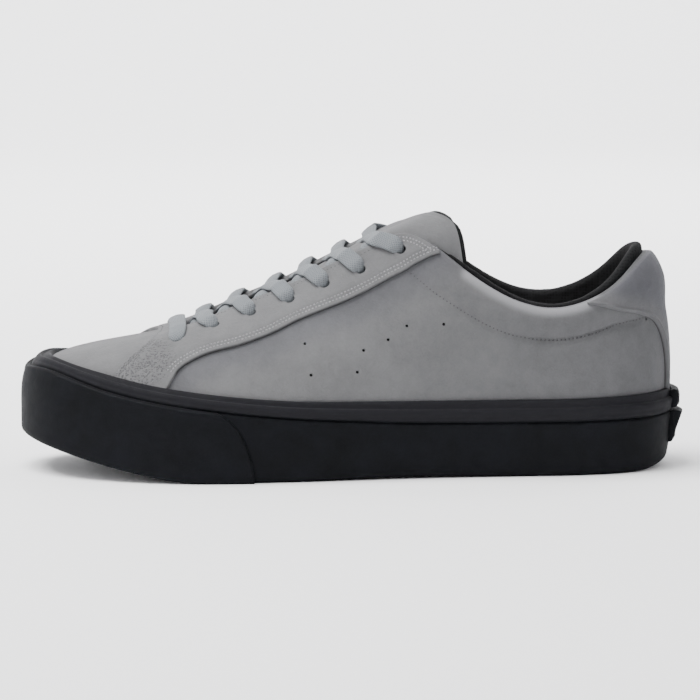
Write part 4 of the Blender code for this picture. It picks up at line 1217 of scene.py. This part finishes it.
soleSize = {"columns": 640, "heelTuck": 0.0021, "inside": -0.0004}
guardSize = {
    "columns": 240,
    "row": 5.70,
    "slant": 0.42,
    "corner": 0.30,
    "cornerPower": 8,
    "rowLength": 0.0165,  # one section row here
    "sideHeight": 0.050,
    "rounding": 0.0011,
    "edgeShare": 0.15,
    "footLevel": 0.07,
    "footShare": 0.35,
    "bead": 0.00035,
    "beadInset": 0.0016,
    "beadWidth": 0.0010,
}


def buildFoxing():
    rows = np.arange(soleSize["columns"]) * rowsAround / soleSize["columns"]
    atHeel = 1 - smoothStep(fromHeel(rows), 0.9, 3.4)
    atToe = 1 - smoothStep(fromToe(rows), 4.6, 5.9)
    outer = []
    for share, out in foxingProfile:
        if 0.69 < share < 0.75:  # the groove is shallow behind the toe guard
            out = out + (0.97 - out) * 0.8 * atToe
        tuck = soleSize["heelTuck"] * atHeel * max(0.0, 1 - share / 0.40) ** 1.6
        outer.append(soleSide(rows, share, shoe["gap"] + shoe["foxingWall"] * out - tuck))
    inner = [soleSide(rows, share, soleSize["inside"]) for share in (1.0, 0.8, 0.6, 0.4)]
    foot, normal = wallLine(rows)
    for height in (seatHeight, groundHeight):
        inner.append(np.concatenate([foot + normal * soleSize["inside"], height(foot[:, 0])[:, None]], 1))
    piece = gridObject("sideBand", np.stack(outer + inner, 1), True, True, soleRubber, 75)
    points = meshPoints(piece.data)
    line = soleSide(np.linspace(0, rowsAround, 1201)[:-1], 0.735, shoe["gap"] + shoe["foxingWall"])
    tree = pointTree(line * (1, 1, 0))
    tops = np.array([line[tree.find((p[0], p[1], 0))[1], 2] for p in points])
    addAttribute(piece.data, "tape", smoothStep(points[:, 2] - tops, -0.0002, 0.0004))
    return finished(piece, "black_rubber", "foxing")


def buildToeGuard():
    size = guardSize
    levels = np.concatenate([
        np.linspace(0, 0.08, 5), np.linspace(0.12, 0.64, 22), np.linspace(0.655, 0.708, 10),
    ])
    height = levels / levels[-1]
    end = size["row"] + size["slant"] * (1 - height**2) - size["corner"] * height ** size["cornerPower"]
    across = np.linspace(0, 1, size["columns"]) ** 0.8
    side = across[:, None] * end[None]
    rows = np.concatenate([-side[:0:-1], side])
    shares = levels[None] + 0 * rows
    outs = np.interp(levels, *zip(*foxingProfile)) * shoe["foxingWall"]
    outs = np.maximum.accumulate(outs[::-1])[::-1]
    toEnd = (end[None] - np.abs(rows)) * size["rowLength"]
    toTop = (levels[-1] - shares) * size["sideHeight"]
    near = np.clip(np.minimum(toEnd, toTop) / size["rounding"], 0, 1)
    rounded = size["edgeShare"] + (1 - size["edgeShare"]) * np.sqrt(1 - (1 - near) ** 2)
    foot = np.clip(shares / size["footLevel"], 0, 1)
    tucked = size["footShare"] + (1 - size["footShare"]) * np.sqrt(foot * (2 - foot))
    bead = size["bead"] * np.exp(-((toTop - size["beadInset"]) / size["beadWidth"]) ** 2)
    over = soleSide(rows, shares, outs[None] + shoe["bumper"] * rounded * tucked + bead + shoe["gap"])
    inside = (outs + soleSize["inside"])[None, ::5] + 0 * rows[:, ::5]
    under = soleSide(rows[:, ::5], shares[:, ::5], inside)
    piece = gridObject("toeGuard", np.concatenate([over, under[:, ::-1]], 1), False, True, soleRubber, 75)
    return finished(piece, "black_rubber", "toe_bumper")


badgeProfile = (  # share of the side's height, share of the badge's stand-off
    (0.27, 0.30), (0.29, 0.38), (0.33, 0.52), (0.45, 0.70),
    (0.60, 0.88), (0.69, 0.99), (0.715, 0.98), (0.725, 0.70),
)
stripProfile = (
    (0.752, 0.20), (0.765, 0.42), (0.79, 0.54), (0.84, 0.60),
    (0.90, 0.58), (0.95, 0.50), (0.985, 0.38), (0.997, 0.20),
)
heelPieceSize = {
    "halfRows": 0.46,
    "halfLength": 0.0095,
    "sideHeight": 0.030,
    "columns": 49,
    "levels": 40,
    "rounding": 0.0013,
    "edgeShare": 0.45,
    "endDrop": 0.22,
    "endPower": 6,
    "rim": 0.0030,
    "panel": 0.00030,
    "inside": 0.7,
}


def buildHeelPiece(name, profile, node):
    size = heelPieceSize
    table = np.array(profile)
    shares = np.linspace(table[0, 0], table[-1, 0], size["levels"])
    along = np.linspace(-1, 1, size["columns"])
    rows = heelRow + size["halfRows"] * along
    wall = max(np.interp(shares, *zip(*foxingProfile))) * shoe["foxingWall"]
    stand = shoe["badgeStandsOff"] * np.interp(shares, table[:, 0], table[:, 1])
    toSide = (1 - np.abs(along)) * size["halfLength"]
    t = np.clip(toSide / size["rounding"], 0, 1)
    rounded = size["edgeShare"] + (1 - size["edgeShare"]) * np.sqrt(1 - (1 - t) ** 2)
    ends = (1 - size["endDrop"] * np.abs(along) ** size["endPower"]) * rounded
    toFoot = (shares - shares[0])[None] * size["sideHeight"]
    rim = np.clip(np.minimum(toSide[:, None], toFoot) / size["rim"], 0, 1)
    panel = size["panel"] * smoothStep(rim, 0.6, 1.0)
    over = soleSide(rows[:, None], shares[None], wall + stand[None] * ends[:, None] - panel)
    inside = np.full((len(rows), len(shares[::6])), wall * size["inside"])
    under = soleSide(rows[:, None], shares[None, ::6], inside)
    piece = gridObject(name, np.concatenate([over, under[:, ::-1]], 1), False, True, soleRubber, 70)
    return finished(piece, "black_rubber", node)


treadSize = {
    "columns": 620, "across": 72, "pitch": 0.0125, "groove": 0.0030, "depth": 0.0016, "margin": 0.022,
    "zigzag": 0.0022, "zigzagPeriod": 0.013, "border": 0.0050,
}


def buildOutsole():
    rows = np.linspace(0, heelRow, 400)
    sides = []
    for r in (rows, rowsAround - rows):
        foot, normal = wallLine(r)
        sides.append(foot + normal * 0.0002)
    low, high = sides[0][0, 0], sides[0][-1, 0]
    t = np.linspace(0, 1, treadSize["columns"])
    x = low + (high - low) * (0.5 - 0.5 * np.cos(math.pi * t))
    yLateral = np.interp(x, sides[0][:, 0], sides[0][:, 1])
    yMedial = np.interp(x, sides[1][:, 0], sides[1][:, 1])
    share = np.linspace(0, 1, treadSize["across"])[None]
    y = yLateral[:, None] * (1 - share) + yMedial[:, None] * share
    xs = x[:, None] + 0 * y
    zigzag = treadSize["zigzag"] * (2 * np.abs((y / treadSize["zigzagPeriod"]) % 1 - 0.5) * 2 - 1)
    count = int((high - low - 2 * treadSize["margin"]) / treadSize["pitch"])
    first = (low + high) / 2 - (count - 1) * treadSize["pitch"] / 2
    phase = (xs + zigzag - first) / treadSize["pitch"]
    distance = np.abs(phase - np.clip(np.round(phase), 0, count - 1)) * treadSize["pitch"]
    groove = 1 - smoothStep(distance, treadSize["groove"] * 0.22, treadSize["groove"] * 0.5)
    edge = np.minimum(y - yLateral[:, None], yMedial[:, None] - y)
    groove = groove * smoothStep(edge, treadSize["border"] * 0.8, treadSize["border"] * 1.1)
    bottom = np.stack([xs, y, groundHeight(xs) + treadSize["depth"] * groove], -1)
    top = np.stack([xs, y, groundHeight(xs) + shoe["outsole"]], -1)[:, ::-9]
    piece = gridObject("treadedOutsole", np.concatenate([bottom, top], 1), False, True, treadRubber, 50)
    return finished(piece, "black_rubber", "outsole")


buildFoxing()
buildToeGuard()
buildHeelPiece("heelBadge", badgeProfile, "heel_badge")
buildHeelPiece("heelStrip", stripProfile, "heel_strip")
buildOutsole()
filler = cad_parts["midsole_filler"]
filler.data.materials.clear()
filler.data.materials.append(sponge)
print("sole made")


# Laces: a straight bar, then crossings, each strand up through its hole and down under the far facing

laceSize = {
    "width": 0.0078,
    "thickness": 0.0019,
    "holeWidth": 0.0036,
    "holeThickness": 0.0026,
    "flareFrom": 0.0038,
    "flareLength": 0.0056,
    "out": 0.00285,
    "lean": (0, 0.0028, 0.0040, 0.0042, 0.0052, 0.0062, 0.0100),
    "holeShift": 0.0010,
    "landingLean": 0.0045,
    "over": 0.55,
    "sag": 0.0015,
    "edgeLift": 0.0003,
    "ring": 20,
    "points": 90,
    "undulation": 0.00018,
    "holeDepths": (-0.0045, -0.0020),
    "crossingShares": (0.10, 0.50, 0.70, 0.86),
}


def throatRow(x, side):
    rows = np.linspace(0, 10, 201)
    row = float(np.interp(x, toeX + shoe["soleLength"] * edgeX(rows), rows))
    return row if side < 0 else rowsAround - row


def onUpper(row, v, out):
    at, level = np.array([row % rowsAround]), np.array([v])
    return np.concatenate([skin(at, level, out)[0], upperNormal(at, level)[0]])


def strandPoints(index, side):
    size = laceSize
    place, normal, row, v = eyeletPlace(index, side)
    target = eyeletPlace(index - 1, -side)[0]
    edge = throatRow(place[0] - size["lean"][index], side)
    towards = unit(onUpper(edge, 1.0, 0)[:3] - place) * size["holeShift"]
    start = []
    for out in (*size["holeDepths"], 0.0005):
        start.append(np.concatenate([place + towards * (1 + out * 150) + normal * out, normal]))
    over = []
    for t in (0.24, 0.50, 0.78, 1.0):
        lift = size["out"] + size["edgeLift"] * t
        over.append(onUpper(row + (edge - row) * t, v + (1 - v) * t, lift * min(1, 0.72 + t)))
    front = toeX + shoe["soleLength"] * float(edgeX(0)) + 0.6 * size["width"]
    landing = throatRow(max(target[0] + size["landingLean"], front), -side)
    far = onUpper(landing, 1.0, size["out"])
    across = [over[-1] + (far - over[-1]) * share for share in size["crossingShares"]]
    for point, share in zip(across, size["crossingShares"]):
        point[2] -= size["sag"] * math.sin(math.pi * share) ** 2
    across[1][2] -= side * size["thickness"] * size["over"]
    across[2][2] -= size["thickness"] * 0.6
    across[3][2] -= size["thickness"] * 1.5
    under = [onUpper(landing, v, out) for v, out in ((0.985, -0.0037), (0.94, -0.0036), (0.90, -0.0034))]
    return resample(np.array(start + over + across + under), size["points"])


def barPoints():
    size = laceSize
    place, normal, row, v = eyeletPlace(0, -1)
    front = toeX + shoe["soleLength"] * float(edgeX(0)) - size["width"] / 2
    samples = np.linspace(0.3, 1, 141)
    rows = [(row, v)]
    for share in (0.86, 0.60, 0.30, 0.0):
        line = upperSurface(np.full(141, row * share), samples)[:, 0]
        rows.append((row * share, float(np.interp(front, line, samples))))
    half = [onUpper(r, level, size["out"]) for r, level in rows[1:]]
    mirrored = [onUpper(-r, level, size["out"]) for r, level in rows[1:-1][::-1]]
    outs = (*size["holeDepths"], 0.0006)
    start = [np.concatenate([place + normal * out, normal]) for out in outs]
    farPlace, farNormal, _, _ = eyeletPlace(0, 1)
    end = [np.concatenate([farPlace + farNormal * out, farNormal]) for out in outs[::-1]]
    return resample(np.array(start + half + mirrored + end), size["points"])


def laceStrand(path, pinched):  # pinched: which ends go through a hole
    size = laceSize
    centre, facingUp = path[:, :3], unit(path[:, 3:])
    count = len(centre)
    along = unit(np.gradient(centre, axis=0))
    lean = np.abs((along * facingUp).sum(-1))
    up = facingUp - along * (facingUp * along).sum(-1, keepdims=True)
    good = lean < 0.75
    first, last = np.argmax(good), count - 1 - np.argmax(good[::-1])
    up[first:last + 1] = unit(up[first:last + 1])
    for i in list(range(first - 1, -1, -1)) + list(range(last + 1, count)):
        near = up[i + 1] if i < first else up[i - 1]
        up[i] = unit(near - along[i] * (near @ along[i]))
    for _ in range(4):
        up[1:-1] = unit(up[:-2] + 2 * up[1:-1] + up[2:])
        up = unit(up - along * (up * along).sum(-1, keepdims=True))
    across = np.cross(along, up)
    run = runAlong(centre)
    flare = np.ones(count)
    for pinch, fromEnd in zip(pinched, (run, run[-1] - run)):
        if pinch:
            t = np.clip((fromEnd - size["flareFrom"]) / size["flareLength"], 0, 1)
            flare = np.minimum(flare, np.sin(t * math.pi / 2) ** 0.8)
    half = (size["holeWidth"] + (size["width"] - size["holeWidth"]) * flare) / 2
    thick = (size["holeThickness"] + (size["thickness"] - size["holeThickness"]) * flare) / 2
    thick = thick * (1 + 0.10 * np.sin(run / 0.0061))
    shift = size["undulation"] * np.sin(run / 0.0048 + 1.3)
    rings = []
    for angle in np.arange(size["ring"]) * math.tau / size["ring"]:
        c, s = (math.copysign(abs(f(angle)) ** 0.72, f(angle)) for f in (math.cos, math.sin))
        crown = 1 + 0.32 * (1 - abs(c))
        rings.append(centre + across * (half * c)[:, None] + up * (thick * s * crown + shift)[:, None])
    return np.stack(rings, 1)


def joinPieces(name, pieces):
    bm = bmesh.new()
    for piece in pieces:
        bm.from_mesh(piece.data)
    mesh = bpy.data.meshes.new(name)
    bm.to_mesh(mesh)
    bm.free()
    mesh.materials.append(pieces[0].data.materials[0])
    for piece in pieces:
        bpy.data.objects.remove(piece)
    return newObject(name, mesh)


def buildLaces():
    bar = gridObject("laceBar", laceStrand(barPoints(), (True, True)), False, True, laceCloth, 80)
    finished(bar, "grey_lace", "lace_bar")
    print("lace bar", round(runAlong(barPoints()[:, :3])[-1] * 1000), "mm")
    for index in range(1, len(eyelets)):
        strands = []
        for side, label in ((-1, "lateral"), (1, "medial")):
            path = strandPoints(index, side)
            print("lace strand", index, label, round(runAlong(path[:, :3])[-1] * 1000), "mm")
            grid = laceStrand(path, (True, False))
            strands.append(gridObject(f"strand_{label}_{index}", grid, False, True, laceCloth, 80))
        finished(joinPieces(f"laceCrossing_{index}", strands), "grey_lace", f"lace_crossing_{index}")


buildLaces()
print("laces made")


# Stitches: a row of thread along a line on the surface, made by one geometry-nodes tree

stitchDefaults = {"Stitch pitch": 0.0026, "Stitch length": 0.0020, "Thread radius": 0.00032}


def stitchTree():
    tree = bpy.data.node_groups.new("stitchRow", "GeometryNodeTree")
    sockets = tree.interface
    sockets.new_socket(name="Geometry", in_out="INPUT", socket_type="NodeSocketGeometry")
    for name, value in stitchDefaults.items():
        socket = sockets.new_socket(name=name, in_out="INPUT", socket_type="NodeSocketFloat")
        socket.default_value = value
    sockets.new_socket(name="Thread", in_out="INPUT", socket_type="NodeSocketMaterial")
    sockets.new_socket(name="Geometry", in_out="OUTPUT", socket_type="NodeSocketGeometry")
    given = addNode(tree, "NodeGroupInput", output=None).outputs
    curve = addNode(tree, "GeometryNodeMeshToCurve", {"Mesh": given["Geometry"]})
    inputs = {"Curve": curve, "Length": given["Stitch pitch"]}
    row = addNode(tree, "GeometryNodeResampleCurve", inputs, mode="LENGTH")
    kind = "GeometryNodeInputNamedAttribute"
    facingOut = addNode(tree, kind, {"Name": "facing"}, data_type="FLOAT_VECTOR")
    tangent = addNode(tree, "GeometryNodeInputTangent")
    kind = "FunctionNodeAlignRotationToVector"
    upright = addNode(tree, kind, {"Vector": facingOut}, axis="Z")
    turned = addNode(tree, kind, {"Rotation": upright, "Vector": tangent}, axis="X", pivot_axis="Z")
    half = addNode(tree, "ShaderNodeMath", {0: given["Stitch length"], 1: 0.5}, operation="MULTIPLY")
    inputs = {0: half, 1: given["Thread radius"], 2: given["Thread radius"]}
    size = addNode(tree, "ShaderNodeCombineXYZ", inputs)
    thread = addNode(tree, "GeometryNodeMeshUVSphere", {"Segments": 8, "Rings": 6, "Radius": 1.0})
    inputs = {"Points": row, "Instance": thread, "Rotation": turned, "Scale": size}
    placed = addNode(tree, "GeometryNodeInstanceOnPoints", inputs)
    real = addNode(tree, "GeometryNodeRealizeInstances", {"Geometry": placed})
    smooth = addNode(tree, "GeometryNodeSetShadeSmooth", {"Geometry": real})
    inputs = {"Geometry": smooth, "Material": given["Thread"]}
    coloured = addNode(tree, "GeometryNodeSetMaterial", inputs)
    addNode(tree, "NodeGroupOutput", {"Geometry": coloured}, None)
    return tree


stitchNodes = stitchTree()


def surfaceTree(*pieces):
    bm = bmesh.new()
    for piece in pieces:
        bm.from_mesh(piece.data)
    tree = BVHTree.FromBMesh(bm)
    bm.free()
    return tree


def insetLine(line, distance, tree, facings):
    tangent = unit(np.gradient(line, axis=0))
    inwardDir = unit(np.cross(facings, tangent))
    moved = line + inwardDir * distance
    for _ in range(30):
        moved[1:-1] = moved[1:-1] * 0.5 + (moved[:-2] + moved[2:]) * 0.25
    return settleLine(moved, tree, facings)


def settleLine(line, tree, facings):
    points, normals = [], []
    for p, f in zip(line, facings):
        hit, normal, _, _ = tree.ray_cast(Vector(p + f * 0.006), Vector(-f), 0.012)
        if hit is None:
            hit, normal, _, _ = tree.find_nearest(Vector(p))
        points.append(tuple(hit))
        normals.append(tuple(normal))
    return np.array(points), np.array(normals)


def stitchRow(name, lines, pitch, length, radius, thread, sink=0.00005):
    mesh = bpy.data.meshes.new(name)
    vertices, edges, facings = [], [], []
    for points, normals in lines:
        first = len(vertices)
        vertices += [tuple(p) for p in points - normals * sink]
        edges += [(first + i, first + i + 1) for i in range(len(points) - 1)]
        facings += [tuple(n) for n in normals]
    mesh.from_pydata(vertices, edges, [])
    layer = mesh.attributes.new("facing", "FLOAT_VECTOR", "POINT")
    layer.data.foreach_set("vector", np.array(facings, np.float32).ravel())
    row = newObject(name, mesh)
    modifier = row.modifiers.new("stitches", "NODES")
    modifier.node_group = stitchNodes
    values = {"Stitch pitch": pitch, "Stitch length": length, "Thread radius": radius, "Thread": thread}
    for socket in stitchNodes.interface.items_tree:
        if socket.in_out == "INPUT" and socket.name in values:
            modifier[socket.identifier] = values[socket.name]
    return finished(bakeModifiers(row), "grey_lace")


def rowFacings(line):  # the upper's own facing beside each point of a line that lies on it
    rows = np.linspace(0, rowsAround, 513)[:-1]
    levels = np.linspace(0.05, 0.99, 48)
    net = upperSurface(rows[:, None], levels[None]).reshape(-1, 3)
    normals = upperNormal(rows[:, None] + 0 * levels[None], levels[None] + 0 * rows[:, None]).reshape(-1, 3)
    tree = pointTree(net)
    return np.array([normals[tree.find(p)[1]] for p in line])


def buildStitches():
    facingSurface = surfaceTree(facing)
    rows = []
    for line in facingLines[1:]:
        facings = rowFacings(line)
        rows += [insetLine(line, inset, facingSurface, facings) for inset in overlaySize["stitchInsets"]]
    for first, last in ((8.75, 10.0), (-10.0, -8.75)):  # two rows round the top corner of the facing
        rowsAt = np.linspace(first, last, 80)
        line = edgePolyline(rowsAt, np.full(80, overlaySize["topShare"]), 160)
        facings = rowFacings(line)
        rows += [insetLine(line, -inset, facingSurface, facings) for inset in overlaySize["stitchInsets"]]
    stitchRow("facingStitches", rows, 0.0016, 0.0011, 0.00036, paleThread)
    rowsAt = np.linspace(-8.7, 8.7, 400)
    highLine = edgePolyline(rowsAt, np.full(400, overlaySize["topShare"]), 600)
    top = insetLine(highLine, -0.0026, facingSurface, rowFacings(highLine))
    front = facingLines[0]
    wing = insetLine(front, overlaySize["stitchInsets"][0], facingSurface, rowFacings(front))
    stitchRow("throatStitches", [top, wing], 0.0018, 0.0009, 0.00030, midThread, 0.00008)
    shellSurface = surfaceTree(suedeShell)
    seams = []
    for side in (1, -1):
        rowsAt = np.linspace(9.05, 15.0, 260)
        seamRows = rowsAt if side > 0 else rowsAround - rowsAt
        level = aboveRim(seamRows, followTable(collarSeam, rowsAt))
        line = skin(seamRows, level)
        seams.append(settleLine(line, shellSurface, upperNormal(seamRows, level)))
    # the near-black thread paints the shade inside the recessed stitch holes
    stitchRow("collarStitches", seams, 0.0018, 0.0009, 0.00042, shadedHoleThread, 0.00024)


buildStitches()
print("stitches made")


# Stage: pale bowl-shaped floor, soft lights, camera at the photo's angle

stageSize = {"flat": 2.0, "rim": 3.3, "height": 2.2, "sides": 96, "paper": "#f8f8f9", "palePaper": "#fafafb"}


def buildFloor():
    angles = np.arange(stageSize["sides"]) * math.tau / stageSize["sides"]
    profile = [(0.0005, 0.0), (0.4, 0.0), (1.2, 0.0), (stageSize["flat"], 0.0)]
    reach = stageSize["rim"] - stageSize["flat"]
    for angle in np.linspace(0.08, 1, 16) * math.pi / 2:
        climb = stageSize["height"] * (1 - math.cos(angle))
        profile.append((stageSize["flat"] + reach * math.sin(angle), climb))
    grid = np.array([[(r * math.cos(a), r * math.sin(a), z) for r, z in profile] for a in angles])
    mesh = bpy.data.meshes.new("floor")
    count, width = grid.shape[:2]
    faces = []
    for i in range(count):
        here, there = i * width, (i + 1) % count * width
        faces += [(here + j, there + j, there + j + 1, here + j + 1) for j in range(width - 1)]
    faces.append(tuple(i * width for i in range(count)))
    mesh.from_pydata(grid.reshape(-1, 3).tolist(), [], faces)
    mesh.shade_smooth()
    shaderInputs = {"Roughness": 0.9, "Specular IOR Level": 0.1}
    material, tree, _, paper = startMaterial("palePaper", shaderInputs, ((3.0, 2.0, 0.5, 0.0),))
    colour = toneColour(tree, ((paper, 1.0),), ((0.3, stageSize["paper"]), (0.7, stageSize["palePaper"])))
    mesh.materials.append(finishMaterial(material, colour))
    floor = newObject("floor", mesh)


lights = (  # name, place, aim, size, power
    ("overhead", (-0.62, -0.14, 1.58), (-0.02, 0, 0.05), 1.2, 66.0),
    ("front", (-0.70, -1.60, 0.95), (0, 0, 0.05), 1.0, 6.0),
    ("rearFill", (0.70, 1.30, 0.90), (0, 0, 0.05), 1.2, 6.0),
    ("backdrop", (0.0, 1.30, 1.90), (0, 2.9, 0.6), 1.8, 110.0),
)


def buildLights():
    for name, place, aim, size, power in lights:
        lamp = bpy.data.lights.new(name, "AREA")
        lamp.size = size
        lamp.energy = power
        holder = newObject(name, lamp)
        holder.location = place
        holder.rotation_mode = "QUATERNION"
        holder.rotation_quaternion = (Vector(aim) - Vector(place)).to_track_quat("-Z", "Y")
    world = bpy.data.worlds.new("studio")
    world.use_nodes = True
    background = world.node_tree.nodes["Background"]
    background.inputs["Color"].default_value = linearColour("#ffffff")
    background.inputs["Strength"].default_value = 0.55
    bpy.context.scene.world = world


view = {
    "target": (-0.001, 0.0, 0.0517),
    "azimuth": -3.5,
    "elevation": 7.0,
    "distance": 1.8,
    "frameWidth": 0.3115,
    "sensor": 36,
}


def buildCamera():
    data = bpy.data.cameras.new("camera")
    data.sensor_width = view["sensor"]
    data.lens = view["sensor"] * view["distance"] / view["frameWidth"]
    data.clip_start, data.clip_end = 0.01, 100
    camera = newObject("camera", data)
    a, e = math.radians(view["azimuth"]), math.radians(view["elevation"])
    back = Vector((math.sin(a) * math.cos(e), -math.cos(a) * math.cos(e), math.sin(e)))
    camera.location = Vector(view["target"]) + back * view["distance"]
    camera.rotation_mode = "QUATERNION"
    camera.rotation_quaternion = (-back).to_track_quat("-Z", "Y")
    bpy.context.scene.camera = camera


buildFloor()
buildLights()
buildCamera()
print("stage made")
